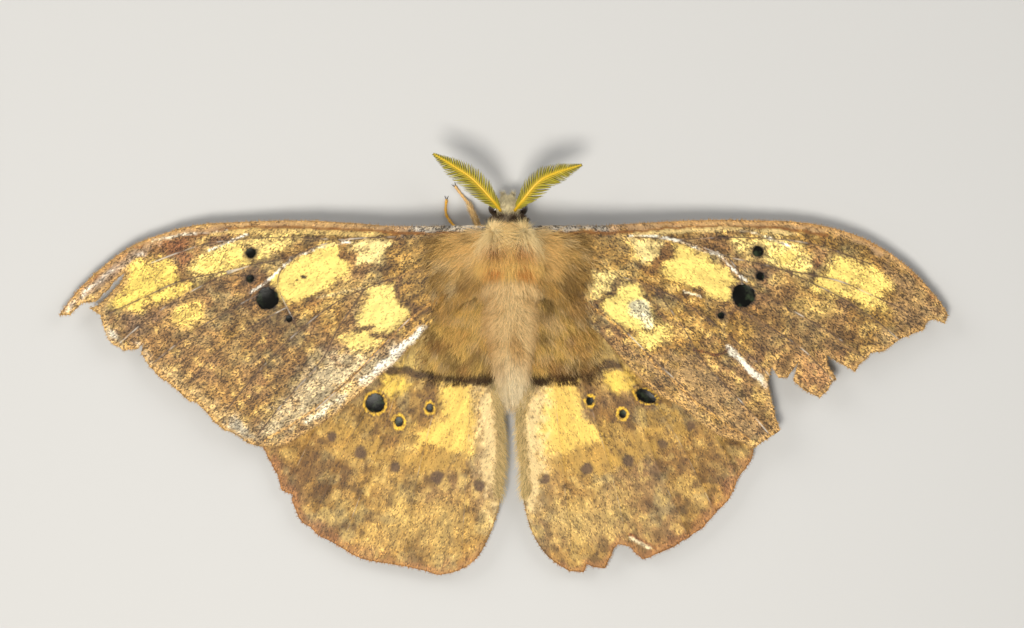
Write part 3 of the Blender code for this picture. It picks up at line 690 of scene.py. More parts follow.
@dataclass
class Body:
    """The moth's trunk from face to tail tip, as cross-sections along its axis.

    sections holds (y, half width, half height, height of the centre) from front to back. The skin
    lies inside it by skin_depth, under the coat. power is how square the sections are. brighter
    lightens the tone on the coat, as painted light that makes up for the shade among its hairs, and
    darker darkens it on the skin, as painted shade under the coat.
    """

    sections: Path = (
        (21.6, 0.35, 0.3, 3.5),
        (21.2, 1.2, 1.1, 3.6),
        (20.6, 1.75, 1.6, 3.8),
        (19.9, 1.85, 1.7, 4.0),
        (19.3, 1.75, 1.75, 4.25),
        (18.9, 2.1, 2.0, 4.7),
        (18.4, 2.55, 2.45, 5.1),
        (17.6, 2.75, 2.65, 5.3),
        (16.6, 3.2, 3.0, 5.35),
        (14.5, 3.6, 3.35, 5.4),
        (12.0, 3.65, 3.35, 5.4),
        (10.0, 3.3, 3.0, 5.25),
        (8.3, 2.8, 2.6, 4.95),
        (6.0, 2.75, 2.6, 4.6),
        (3.0, 2.45, 2.4, 4.1),
        (0.0, 1.95, 2.0, 3.6),
        (-2.5, 1.45, 1.5, 3.1),
        (-4.4, 0.85, 0.95, 2.75),
        (-5.2, 0.4, 0.45, 2.6),
        (-5.4, 0.12, 0.15, 2.6),
    )
    power: float = 2.3
    skin_depth: float = 0.35
    brighter: float = 1.38
    darker: float = 0.6
    sides: int = 72
    table: Array = field(init=False)

    def __post_init__(self) -> None:
        """Works out the smooth run of sections, from tail to head."""
        self.table = spline(self.sections, 0.2)[::-1]

    def section(self, y: Array) -> tuple[Array, Array, Array]:
        """The skin's half width, half height and centre height at each y."""
        wide, tall, centre = (np.interp(y, self.table[:, 0], self.table[:, k]) for k in (1, 2, 3))
        shrink = np.minimum(self.skin_depth, 0.3 * wide)
        return wide - shrink, tall - shrink, centre

    def place(self, y: Array, angle: Array) -> Array:
        """Points on the skin, for each y and angle round it from the right side over the top."""
        wide, tall, centre = self.section(y)
        cosine, sine = np.cos(angle), np.sin(angle)
        across = np.sign(cosine) * np.abs(cosine) ** (2 / self.power) * wide
        up = np.sign(sine) * np.abs(sine) ** (2 / self.power) * tall
        return np.stack([axis_x(y) + across, y, centre + up], axis=1)

    def normal(self, y: Array, angle: Array) -> Array:
        """The direction out of the skin at each y and angle."""
        small = 0.03
        around = self.place(y, angle + small) - self.place(y, angle - small)
        along = self.place(y + small, angle) - self.place(y - small, angle)
        return unit(np.cross(along, around))

    def unwrap(self, y: Array, angle: Array) -> Array:
        """Where a root lies on the body's flat unwrap: round it, then along it."""
        low, high = self.table[0, 0], self.table[-1, 0]
        around = np.mod(angle + math.pi / 2, 2 * math.pi) / (2 * math.pi)
        return np.stack([0.02 + 0.96 * around, 0.02 + 0.96 * (y - low) / (high - low)], axis=1)

    def tone(self, points: Array) -> Array:
        """The coat's colour at each place, for skin and tufts alike.

        Args:
            points: Places on or over the body.

        Returns:
            Linear colours, one row each.
        """
        y, side = points[:, 1], np.abs(points[:, 0] - axis_x(points[:, 1]))
        noise = layered_noise(points[:, :2], 1.4, 3)
        wool, cream = self.wool_tone(side, y, noise), self.cream_tone(side, y, noise)
        found = blend(wool, cream, smooth(-y + (noise - 0.5) * 0.5, -11.6, -11.3))
        # The dark brown over the collar and head, and in the wedge between the swirls, is partly the
        # hair's own colour and partly painted shade, as dark as the shade round the head and in the
        # parting.
        dark = blend(plain("#3b2a18", len(y)), "#a3927a", smooth(noise, 0.6, 0.75) * 0.5)
        wedge = smooth(-side * 1.6 - np.maximum(18.6 - y, 0), -1.1, -0.4) * smooth(y, 16.6, 17.3)
        collar = smooth(y + (noise - 0.5) * 0.4, 17.9, 18.3)
        found = blend(found, dark, np.maximum(collar, wedge * 0.8))
        face = smooth(y, 18.95, 19.15) * smooth(-side, -1.5, -1.1)
        found = blend(found, linear("#fff0c4") * 1.2, face)
        belly = smooth(-points[:, 2], -3.6, -2.2) * smooth(-y, -19, -17)
        return blend(found, "#a98a5c", belly * 0.6)

    @staticmethod
    def wool_tone(side: Array, y: Array, noise: Array) -> Array:
        """The thorax's orange-brown wool, with its two pale swirls, four dark patches and tufts."""
        wool = blend(plain("#dcb96e", len(y)), "#b58a4c", smooth(noise, 0.45, 0.75) * 0.7)
        swirl = np.hypot(side - 2.2, y - 16.7)
        upper = np.hypot((side - 1.5) / 1.3, (y - 15.1) / 1.4)
        lower = np.hypot((side - 1.5) / 1.4, (y - 12.5) / 1.0)
        tuft = np.hypot((side - 4.2) / 1.2, (y - 12.6) / 1.6)
        wool = blend(wool, "#fbe3ab", smooth(-swirl, -3.0, -0.3) * 0.9)
        wool = blend(wool, "#8c5728", smooth(-upper, -1.15, -0.2) * 0.8)
        wool = blend(wool, "#a8672c", smooth(-lower, -1.15, -0.2) * 0.8)
        return blend(wool, "#f0dda0", smooth(-tuft, -1.2, -0.3) * 0.85)

    def cream_tone(self, side: Array, y: Array, noise: Array) -> Array:
        """The cream wool behind it, paler towards the tail and browner down the flanks."""
        cream = blend(plain("#d8bb86", len(y)), "#a78149", smooth(noise, 0.42, 0.74) * 0.75)
        cream = blend(cream, "#f2e4c0", smooth(-y, -2.5, 3.5) * 0.75)
        share = side / np.interp(y, self.table[:, 0], self.table[:, 1])
        return blend(cream, "#ae8a50", smooth(share, 0.62, 0.95) * smooth(y, -4.0, 1.0) * 0.7)

    def build_skin(self, material: bpy.types.Material) -> bpy.types.Object:
        """Makes the closed skin that stands for the head, collar, thorax and abdomen."""
        rows = self.table[::2, 0]
        angles = np.linspace(0, 2 * math.pi, self.sides, endpoint=False)
        y, angle = (grid.ravel() for grid in np.meshgrid(rows, angles, indexing="ij"))
        ends = np.array([[axis_x(rows[0]), rows[0], 2.6], [axis_x(rows[-1]), rows[-1], 3.5]])
        points = np.vstack([self.place(y, angle), ends])
        piece = mesh_object("body_skin", points, tube_faces(len(rows), self.sides), material)
        # Painted shade: the skin under the coat is darkened, as the coat shades it.
        paint(piece, self.tone(points) * self.darker)
        return piece

    def coat(
        self,
        y_range: tuple[float, float],
        angles: tuple[float, float],
        count: int,
        style: HairStyle,
        seed: int,
        both_flanks: bool = False,
    ) -> Hair:
        """A field of hair over part of the skin.

        Args:
            y_range: From where to where along the body.
            angles: From which angle to which round it, in degrees from the right over the top.
            count: How many tufts.
            style: How they look.
            seed: The seed of their places.
            both_flanks: True to grow the same on the left.

        Returns:
            The field, lying as the real coat does.
        """
        rng = np.random.default_rng(seed)
        low, high = y_range
        y = rng.uniform(low, high, count * 2)
        wide = np.interp(y, self.table[:, 0], self.table[:, 1])
        y = y[rng.uniform(0, wide.max(), len(y)) < wide][:count]
        angle = np.radians(rng.uniform(*angles, len(y)))
        if both_flanks:
            angle = np.where(rng.uniform(size=len(y)) < 0.5, angle, math.pi - angle)
        roots, normals = self.place(y, angle), self.normal(y, angle)
        reach = 1 - 0.35 * smooth(-y, -13.5, -11.6) * smooth(y, 10.9, 11.5)
        reach *= 1 - 0.6 * smooth(y, 16.6, 17.8) * smooth(-y, -18.6, -18.3)
        reach *= 1 - 0.3 * smooth(-y, -10.6, -9.8) * smooth(np.sin(angle), 0.2, 0.8)
        # Painted light: the coat's tone is lightened to make up for the shade among its hairs.
        tones = self.tone(roots) * self.brighter
        return Hair(roots, normals, self.lie(roots), tones, self.unwrap(y, angle), style, seed,
                    reach=reach)

    def lie(self, roots: Array) -> Array:
        """Which way the coat lies: away from the two swirls in front, backwards behind them."""
        x, y = roots[:, 0] - axis_x(roots[:, 1]), roots[:, 1]
        side = np.sign(x)
        from_swirl = np.stack([x - side * 1.9, y - 17.2, np.zeros_like(y)], axis=1)
        flare = np.where(y < 10.4, 0.42 + 0.5 * smooth(np.abs(x), 1.0, 2.4), 0.18)
        backwards = np.stack([x * flare, np.full_like(y, -1.0), np.full_like(y, -0.1)], axis=1)
        swirling = smooth(y, 12.6, 15.0)[:, None] * smooth(-y, -18.6, -18.2)[:, None]
        forwards = np.stack([x * 0.35, np.full_like(y, 0.9), np.full_like(y, 0.1)], axis=1)
        ahead = smooth(y, 18.4, 18.9)[:, None]
        lies = unit(from_swirl) * swirling + unit(backwards) * (1 - swirling)
        return lies * (1 - ahead) + unit(forwards) * ahead


# Wings


class Edge(Enum):
    """How a stretch of a wing's outline runs: curved through its points, or torn from one to the next.

    The value is how far it wobbles to either side.
    """

    SMOOTH = 0.03
    TORN = 0.09


class Form(Enum):
    """What a marking's points mean."""

    AREA = "area"
    LINE = "line"
    SPOT = "spot"


@dataclass(frozen=True)
class Mark:
    """One marking of a wing, laid over those before it.

    width is the softness of an area's edge, the half width of a line or the radius of a spot.
    ragged is how far noise shifts its edge, broken how much of the ground shows through, speck how
    strongly single scales stand out in it, and crisp how far its edge breaks up into single scales.
    """

    colour: str
    form: Form
    points: Path
    width: float = 0.5
    strength: float = 1.0
    ragged: float = 0.7
    broken: float = 0.35
    speck: float = 0.8
    crisp: float = 0.5

    def amount(self, plan: Array, grain: Array) -> Array:
        """How much of the marking each place shows.

        Args:
            plan: Places on the wing.
            grain: The same places along and across the rows of scales.

        Returns:
            A value from 0 to 1 for each place.
        """
        shift = np.stack([layered_noise(plan, 1.5, seed) for seed in (5, 6)], axis=1) - 0.5
        moved = plan + shift * 2 * self.ragged
        if self.form is Form.AREA:
            found = patch(moved, self.points, self.width * 1.7)
        elif self.form is Form.LINE:
            far = line_distance(moved, spline(self.points, 0.8))
            found = smooth(-far, -1.5 * self.width, -0.5 * self.width)
        else:
            far = np.linalg.norm(moved - self.points[0], axis=1)
            found = smooth(-far, -1.3 * self.width, -0.7 * self.width)
        holes = smooth(layered_noise(grain, 0.8, 8), 0.42, 0.66)
        found = found * self.strength * (1 - self.broken * holes)
        fine = value_noise(plan, 0.42, 15) * 0.6 + value_noise(grain, 0.4, 16) * 0.4
        scattered = smooth(found / self.strength + (fine - 0.5) * 1.3, 0.3, 0.7) * self.strength
        edge = (found > 0.02) & (found < 0.98)
        return np.where(edge, scattered * self.crisp + found * (1 - self.crisp), found)


@dataclass(frozen=True)
class Window:
    """A clear spot in a wing: its centre and radii, and how wide the rings round it are.

    length is the second radius, where it isn't round, and lean its turn in degrees. ring is the
    width of its yellow ring and halo that of the dusky one.
    """

    x: float
    y: float
    radius: float
    length: float = 0.0
    lean: float = 0.0
    ring: float = 0.0
    halo: float = 0.25

    def outline(self, grow: float = 0.0, uneven: float = 1.0) -> Array:
        """Its rim, as an ellipse grown by so much and made uneven by a share of its waves."""
        step = 0.16
        wide, tall = self.radius + grow, (self.length or self.radius) + grow
        count = max(14, int(2 * math.pi * max(wide, tall) / step))
        angle = np.linspace(0, 2 * math.pi, count, endpoint=False)
        waves = 0.05 * np.cos(angle * 3 + self.x) + 0.035 * np.cos(angle * 7 + self.y)
        jag = 1 + uneven * (waves + 0.03 * np.cos(angle * 13))
        u, v = wide * np.cos(angle) * jag, tall * np.sin(angle) * jag
        turn = math.radians(self.lean)
        x = self.x + u * math.cos(turn) - v * math.sin(turn)
        y = self.y + u * math.sin(turn) + v * math.cos(turn)
        return np.stack([x, y], axis=1)

    def reach(self, plan: Array) -> Array:
        """How far each place lies outside the rim, in millimetres; negative inside."""
        turn = math.radians(-self.lean)
        dx, dy = plan[:, 0] - self.x, plan[:, 1] - self.y
        u = dx * math.cos(turn) - dy * math.sin(turn)
        v = dx * math.sin(turn) + dy * math.cos(turn)
        wide, tall = self.radius, self.length or self.radius
        scaled = np.hypot(u / wide, v / tall)
        return (scaled - 1) * min(wide, tall)


@dataclass
class Wing:
    """One wing: its outline, how it slopes, its veins and its markings.

    outline holds stretches of points in order. ground holds the wing's own colour and the two it
    drifts to, and margin the colour of its outer edge. slope holds the height at the tip, the rise
    from there to the root, and how far and how sharply it falls. speckled and veined are how
    strongly single scales and veins stand out, and spacing is the width of the mesh. The upper side
    has ridges vein_height high and vein_width wide, panes sunk by hollow, and soft waves.
    """

    name: str
    outline: tuple[tuple[Edge, Path], ...]
    veins: tuple[Path, ...]
    windows: tuple[Window, ...]
    marks: tuple[Mark, ...]
    root: tuple[float, float]
    ground: tuple[str, str, str]
    margin: str
    slope: tuple[float, float, float, float]
    seed: int
    speckled: float = 1.0
    veined: float = 1.0
    spacing: float = 0.24
    thickness: float = 0.2
    vein_height: float = 0.17
    vein_width: float = 0.24
    hollow: float = 0.1
    waviness: float = 0.1
    edge: Array = field(init=False)

    def __post_init__(self) -> None:
        """Works out the closed edge from its stretches."""
        rows, jags = [], []
        for kind, points in self.outline:
            if kind is Edge.SMOOTH:
                rows.append(spline(points, 0.35))
            else:
                corners = np.array(points)
                run = run_along(corners)
                at = np.union1d(run, np.arange(0, run[-1], 0.3))
                rows.append(at_run(at, run, corners))
            jags.append(np.full(len(rows[-1]), kind.value))
        edge = np.vstack(rows)
        wobble = np.stack([value_noise(edge, 0.7, self.seed + k) - 0.5 for k in (0, 1)], axis=1)
        self.edge = edge + wobble * 2 * np.concatenate(jags)[:, None]

    def height(self, plan: Array) -> Array:
        """The height of the middle of the wing over each place."""
        low, rise, fall, bend = self.slope
        reach = np.maximum(np.linalg.norm(plan - self.root, axis=1) - 3.0, 0)
        return low + rise * np.exp(-((reach / fall) ** bend))

    def grain(self, plan: Array) -> Array:
        """Each place along and across the rows of scales, which fan out from the root."""
        x, y = plan[:, 0] - self.root[0], plan[:, 1] - self.root[1]
        turn = np.arctan2(y, np.abs(x) + 1e-6)
        return np.stack([turn * 22, np.hypot(x, y) * 0.42, np.zeros(len(plan))], axis=1)

    def comb(self, plan: Array) -> Array:
        """Each place along and across the mean run of the veins, drawn out along it."""
        ahead = np.mean([unit(np.subtract(vein[-1], vein[0])) for vein in self.veins], axis=0)
        ahead = unit(ahead)
        return np.stack([plan @ ahead * 0.55, plan @ (-ahead[1], ahead[0]), np.zeros(len(plan))],
                        axis=1)

    def vein_distance(self, plan: Array) -> Array:
        """How far each place lies from the nearest vein."""
        return np.min([line_distance(plan, spline(vein, self.spacing)) for vein in self.veins], axis=0)

    def relief(self, plan: Array) -> Array:
        """How far the upper side stands over the flat: veins up, the panes between them down."""
        near = self.vein_distance(plan)
        ridge = self.vein_height * np.exp(-((near / self.vein_width) ** 2))
        waves = self.waviness * (layered_noise(self.grain(plan)[:, :2] * 0.5, 1.6, self.seed) - 0.5)
        return ridge + waves - self.hollow * smooth(near, 0.3, 1.8)

    def tone(self, plan: Array) -> tuple[Array, Array]:
        """The colour of the scales at each place, and how much single ones stand out.

        Args:
            plan: Places on the wing.

        Returns:
            Linear colours, one row each, and one value each.
        """
        grain = self.grain(plan)
        colours = self.ground_tone(plan, grain)
        speck = np.full(len(plan), self.speckled)
        for form in (Form.AREA, Form.SPOT, Form.LINE):
            if form is Form.LINE:
                colours = self.vein_tone(plan, colours)
            for mark in (mark for mark in self.marks if mark.form is form):
                amount = mark.amount(plan, grain)
                streak = 1 + 0.36 * (layered_noise(grain * (1.0, 0.2, 1.0), 0.9, 23) - 0.5)
                colours = blend(colours, linear(mark.colour) * streak[:, None], amount)
                shown = mark.speck * amount + 1.2 * amount * (1 - amount)
                speck = speck * (1 - amount) + self.speckled * shown
        fleck = value_noise(self.comb(plan)[:, :2] * (0.5, 1.0), 0.4, self.seed + 9) - 0.5
        colours = colours * (1 + fleck * np.clip(speck, 0.25, 1.0))[:, None]
        return self.ring_tone(plan, self.margin_tone(plan, colours)), speck

    def ground_tone(self, plan: Array, grain: Array) -> Array:
        """The wing's own colour, drifting in patches, streaks and small clusters of scales."""
        own, dark, light = self.ground
        drift = layered_noise(plan, 5.0, self.seed)
        fine = layered_noise(grain, 1.3, self.seed + 3)
        darker = smooth(drift * 0.6 + fine * 0.4, 0.47, 0.66)
        lighter = smooth(1.0 - drift * 0.55 - fine * 0.45, 0.52, 0.72)
        colours = blend(plain(own, len(plan)), dark, darker * 0.9)
        colours = blend(colours, light, lighter * 0.7)
        rose = layered_noise(plan, 7.0, self.seed + 5)
        colours = blend(colours, "#785a44", smooth(rose, 0.5, 0.7) * 0.5)
        hue = layered_noise(plan, 2.6, self.seed + 10)
        colours = blend(colours, "#8f6530", smooth(hue, 0.54, 0.72) * 0.4)
        colours = blend(colours, "#8d8058", smooth(-hue, -0.46, -0.3) * 0.5)
        round_ones = layered_noise(plan, 1.0, self.seed + 6, 2)
        cluster = round_ones * 0.6 + layered_noise(grain, 0.7, self.seed + 7, 2) * 0.4
        colours = blend(colours, "#553a1c", smooth(cluster, 0.53, 0.7) * 0.75)
        return blend(colours, "#d3b064", smooth(-cluster, -0.45, -0.28) * 0.6)

    def vein_tone(self, plan: Array, colours: Array) -> Array:
        """The colours with darker scales along the veins, where these aren't rubbed."""
        broken = 0.3 + 0.7 * smooth(value_noise(plan, 1.6, self.seed + 8), 0.3, 0.6)
        near = smooth(-self.vein_distance(plan), -0.5, -0.1)
        return blend(colours, "#5a4230", near * broken * 0.4 * self.veined)

    def margin_tone(self, plan: Array, colours: Array) -> Array:
        """The colours with the outer margin's own laid along the edge, away from the root."""
        rim = line_distance(plan, np.vstack([self.edge, self.edge[:1]]))
        rim = smooth(-(rim + (layered_noise(plan, 1.2, 4) - 0.5) * 0.9), -0.95, -0.2)
        from_root = smooth(np.linalg.norm(plan - self.root, axis=1), 15, 24)
        from_body = smooth(np.abs(plan[:, 0] - axis_x(plan[:, 1])), 3, 6)
        return blend(colours, self.margin, rim * from_root * from_body * 0.7)

    def ring_tone(self, plan: Array, colours: Array) -> Array:
        """The colours with a dusky halo, a broken yellow ring and a dark rim at each clear spot."""
        for window in self.windows:
            reach = -window.reach(plan) - (value_noise(plan, 0.22, 9) - 0.5) * 0.25
            ring = window.ring
            halo = smooth(reach, -ring - 1.9 * window.halo, -ring)
            colours = blend(colours, "#5b432c", halo * 0.85)
            if ring:
                whole = 0.25 + 0.75 * smooth(value_noise(plan, 0.55, 12), 0.22, 0.45)
                colours = blend(colours, "#e6b636", smooth(reach, -ring - 0.05, -ring + 0.08) * whole)
            colours = blend(colours, "#1d1610", smooth(reach, -0.16, -0.02))
        return colours

    def hidden(self, plan: Array) -> Array:
        """Which places lie outside the wing or in a window."""
        found = ~inside(plan, self.edge)
        for window in self.windows:
            found |= inside(plan, window.outline())
        return found

    def triangulate(self) -> tuple[Array, Array]:
        """Fills the outline with triangles that follow its veins and leave its windows open.

        Returns:
            Points in the plane and one row of point numbers for each triangle, all facing up.
        """
        rng = np.random.default_rng(self.seed)
        low, high = self.edge.min(axis=0), self.edge.max(axis=0)
        size, rows, jitter, from_vein, from_rim = self.spacing, 0.87, 0.15, 0.5, 0.45
        u, v = np.meshgrid(np.arange(low[0], high[0], size), np.arange(low[1], high[1], size * rows))
        u[1::2] += size / 2
        field_points = np.stack([u.ravel(), v.ravel()], axis=1)
        field_points += rng.uniform(-jitter, jitter, field_points.shape) * size
        loops = [self.edge, *(window.outline() for window in self.windows)]
        ridges = np.vstack([spline(vein, size) for vein in self.veins])
        field_points = field_points[self.vein_distance(field_points) > size * from_vein]
        field_points = np.vstack([ridges, field_points])
        clear = ~self.hidden(field_points)
        for loop in loops:
            clear &= line_distance(field_points, np.vstack([loop, loop[:1]])) > size * from_rim
        starts = np.cumsum([0] + [len(loop) for loop in loops])
        rings = [list(range(a, b)) for a, b in zip(starts, starts[1:])]
        fixed = [(a, b) for ring in rings for a, b in zip(ring, ring[1:] + ring[:1])]
        everything = np.vstack([*loops, field_points[clear]])
        result = geometry.delaunay_2d_cdt([Vector(p) for p in everything], fixed, [], 0, 1e-5, False)
        plan = np.array([tuple(p) for p in result[0]])
        faces = np.array(result[2])
        faces = faces[~self.hidden(plan[faces].mean(axis=1))]
        used, faces = np.unique(faces, return_inverse=True)
        plan, faces = plan[used], faces.reshape(-1, 3)
        ab, ac = (plan[faces[:, k]] - plan[faces[:, 0]] for k in (1, 2))
        turned = ab[:, 0] * ac[:, 1] - ab[:, 1] * ac[:, 0] < 0
        faces[turned] = faces[turned][:, ::-1]
        return plan, faces

    @staticmethod
    def walls(faces: Array, count: int) -> Array:
        """Triangles that join each open edge to the same edge of a side count points further on."""
        edges = np.vstack([faces[:, [0, 1]], faces[:, [1, 2]], faces[:, [2, 0]]])
        key = np.sort(edges, axis=1)
        _, first, times = np.unique(key, axis=0, return_index=True, return_counts=True)
        a, b = edges[first[times == 1]].T
        return np.vstack([np.column_stack([a, a + count, b + count]),
                          np.column_stack([a, b + count, b])])

    def build(self, material: bpy.types.Material) -> bpy.types.Object:
        """Makes the wing as a thin solid with relief, pierced by its windows.

        Args:
            material: The finish of its scales.

        Returns:
            The piece.
        """
        plan, faces = self.triangulate()
        height, relief = self.height(plan), self.relief(plan)
        top = np.column_stack([plan, height + self.thickness / 2 + relief])
        base = np.column_stack([plan, height - self.thickness / 2 - 0.3 * np.abs(relief)])
        count = len(plan)
        solid = np.vstack([faces, faces[:, ::-1] + count, self.walls(faces, count)])
        piece = mesh_object(self.name + "_scales", np.vstack([top, base]), solid, material)
        colours, speck = self.tone(plan)
        under = blend(colours, "#c2a878", 0.45)
        paint(piece, np.vstack([colours, under]))
        store(piece, "speck", np.tile(speck, 2))
        bare = smooth(-np.linalg.norm(plan - self.root, axis=1), -16, -10)
        store(piece, "vein", np.tile(self.vein_distance(plan) + bare + 0.1 * (1 - self.veined), 2))
        store(piece, "grain", np.tile(self.comb(plan), (2, 1)))
        self.unwrap(piece, np.vstack([plan, plan]), np.repeat([0, 1], count))
        return piece

    def places(self, plan: Array, under: Array | int = 0) -> Array:
        """Where places lie on the wing's flat unwrap, its upper side above the lower one."""
        low, high = self.edge.min(axis=0) - 0.5, self.edge.max(axis=0) + 0.5
        scale = 0.98 / max(high[0] - low[0], 2.1 * (high[1] - low[1]))
        flat = (plan - low) * scale + 0.01
        flat[:, 1] += 0.5 * (1 - np.asarray(under))
        return flat

    def unwrap(self, piece: bpy.types.Object, plan: Array, under: Array) -> None:
        """Lays both sides of the wing flat in the map OFBake."""
        vertices = loop_vertices(piece)
        flat = self.places(plan, under)[vertices].reshape(-1, 3, 2)
        side = under[vertices].reshape(-1, 3)
        walls = side.min(axis=1) != side.max(axis=1)
        flat[walls] = flat[walls][:, :1] + np.array([[0, 0], [0.0005, 0], [0, 0.0005]])
        set_map(piece, flat)

    def build_windows(self, material: bpy.types.Material) -> bpy.types.Object:
        """Makes the clear membranes as thin, shallow dishes held in the wing."""
        overlap, shares = 0.12, (0.3, 0.55, 0.8, 0.97, 1.0)
        upper, lower = 0.02, 0.08
        points, faces, start = [], [], 0
        for window in self.windows:
            rim = window.outline(overlap)
            middle = np.array([[window.x, window.y]])
            even = window.outline(overlap, uneven=0.0)
            rings = ((share, even if share < 0.9 else rim) for share in shares)
            plan = np.vstack([middle, *(middle + (ring - middle) * share for share, ring in rings)])
            sag = 1 - np.concatenate([[0.0], np.repeat(shares, len(rim))]) ** 2
            height = self.height(plan) - 0.085 * window.radius * sag
            count, sides = len(plan), len(rim)
            points += [np.column_stack([plan, height - depth]) for depth in (upper, lower)]
            k = np.arange(sides)
            after = (k + 1) % sides
            top = [np.column_stack([np.zeros(sides, int), 1 + k, 1 + after])]
            last = 1 + (len(shares) - 1) * sides
            for ring in range(1, last, sides):
                top.append(np.column_stack([ring + k, ring + sides + k, ring + sides + after]))
                top.append(np.column_stack([ring + k, ring + sides + after, ring + after]))
            top = np.vstack(top)
            edge_a = np.column_stack([last + k, count + last + k, count + last + after])
            edge_b = np.column_stack([last + k, count + last + after, last + after])
            faces.append(np.vstack([top, top[:, ::-1] + count, edge_a, edge_b]) + start)
            start += 2 * count
        return mesh_object(self.name + "_windows", np.vstack(points), np.vstack(faces), material)

    def hair(self, plan: Array, lies: Array, style: HairStyle, tint: str, mix: float,
             seed: int) -> Hair:
        """A field of hair rooted in the upper side.

        Args:
            plan: Where the tufts grow.
            lies: Which way each lies, in the plane.
            style: How they look.
            tint: A colour that the wing's own tone is mixed with.
            mix: How much of it.
            seed: The seed of their wobble.

        Returns:
            The field.
        """
        roots = np.column_stack([plan, self.height(plan) + self.thickness / 2])
        normals = np.tile(UP, (len(plan), 1))
        tones = blend(self.tone(plan)[0], tint, mix)
        return Hair(roots, normals, np.column_stack([lies, np.zeros(len(plan))]), tones,
                    self.places(plan), style, seed)

    def fringe(self, style: HairStyle, per_mm: float) -> Hair:
        """The short fringe of scales all round the outer edge."""
        ahead = np.roll(self.edge, -1, axis=0) - self.edge
        lengths = np.linalg.norm(ahead, axis=1)
        run = np.concatenate([[0], np.cumsum(lengths)])
        rng = np.random.default_rng(self.seed + 20)
        spots = rng.uniform(0, run[-1], int(run[-1] * per_mm))
        index = np.clip(np.searchsorted(run, spots) - 1, 0, len(self.edge) - 1)
        share = ((spots - run[index]) / np.maximum(lengths[index], 1e-6))[:, None]
        plan = self.edge[index] + ahead[index] * share
        out = unit(np.stack([ahead[index, 1], -ahead[index, 0]], axis=1))
        out *= np.where(inside(plan + out * 0.05, self.edge), -1, 1)[:, None]
        far = np.linalg.norm(plan - self.root, axis=1) > 9.0
        plan, out = plan[far] - out[far] * 0.12, out[far]
        field_hair = self.hair(plan, out, style, self.margin, 0.35, self.seed + 21)
        field_hair.roots[:, 2] -= self.thickness / 2
        return field_hair


def mirrored(veins: tuple[Path, ...]) -> tuple[Path, ...]:
    """The same veins on the right, about the body's axis."""
    return tuple(tuple((2 * axis_x(y) - x, y) for x, y in vein) for vein in veins)


FOREWING_SLOPE = (1.7, 4.9, 30.0, 1.2)
HINDWING_SLOPE = (1.25, 3.7, 17.0, 1.0)
FOREWING_ROOT = (0.75, 14.0)
HINDWING_ROOT = (0.86, 9.5)
FOREWING_GROUND = ("#86672f", "#583d1c", "#a8863f")
HINDWING_GROUND = ("#a8823f", "#7b5a28", "#c39f54")
YELLOW = "#edcd6e"
PALE_YELLOW = "#e4cb86"
RUBBED = "#efebdc"
UMBER = "#5e4227"

FOREWING_VEINS = (
    ((-2.9, 15.6), (-8.3, 16.4), (-20.6, 16.1), (-27.6, 13.9), (-34.0, 12.4), (-41.0, 9.2),
        (-46.0, 6.0), (-49.8, 2.8)),
    ((-20.6, 16.1), (-30.0, 16.4), (-38.5, 15.6), (-46.2, 13.0)),
    ((-34.5, 12.3), (-41.5, 10.9), (-46.0, 9.0), (-51.2, 6.6)),
    ((-29.2, 10.4), (-35.0, 7.3), (-40.7, 3.9), (-45.6, 0.1)),
    ((-28.0, 7.4), (-31.1, 5.7), (-36.6, 2.0), (-41.4, -3.1)),
    ((-2.9, 13.8), (-12.0, 11.8), (-20.5, 8.6), (-26.5, 4.3), (-31.8, -1.0), (-36.3, -6.4)),
    ((-18.0, 9.6), (-21.4, 4.55), (-23.7, 0.3), (-28.5, -5.0), (-31.9, -9.2)),
    ((-2.9, 12.2), (-8.0, 9.3), (-12.5, 5.5), (-18.7, -0.8), (-24.9, -6.4)),
    ((-27.6, 13.9), (-29.2, 10.4), (-26.5, 4.3)),
)
HINDWING_VEINS = (
    ((-2.8, 9.6), (-10.0, 6.2), (-17.7, 0.2), (-24.0, -8.0), (-28.0, -15.5)),
    ((-13.0, -0.5), (-19.0, -8.0), (-24.5, -19.5)),
    ((-10.0, 6.2), (-13.0, -0.5), (-16.0, -10.0), (-20.5, -22.0)),
    ((-2.9, 8.2), (-6.0, 2.5), (-9.0, -6.0), (-11.5, -16.0), (-13.0, -25.0)),
    ((-3.2, 6.6), (-4.0, 0.0), (-4.6, -10.0), (-5.4, -24.0)),
)


def area(colour: str, points: Path, width: float = 0.5, **more: float) -> Mark:
    """A soft-edged area of one colour."""
    return Mark(colour, Form.AREA, points, width, **more)


def stripe(colour: str, points: Path, width: float = 0.3, **more: float) -> Mark:
    """A stripe of one colour through its points."""
    return Mark(colour, Form.LINE, points, width, **more)


def spot(colour: str, x: float, y: float, width: float, **more: float) -> Mark:
    """A round spot of one colour."""
    return Mark(colour, Form.SPOT, ((x, y),), width, **more)


def dark_spots(strength: float, *places: tuple[float, float, float]) -> tuple[Mark, ...]:
    """Part of the hindwing's row of dark spots, each with its x, y and radius."""
    return tuple(
        spot("#4f392b", *place, strength=strength, ragged=0.3, broken=0.1, speck=0.4)
        for place in places
    )


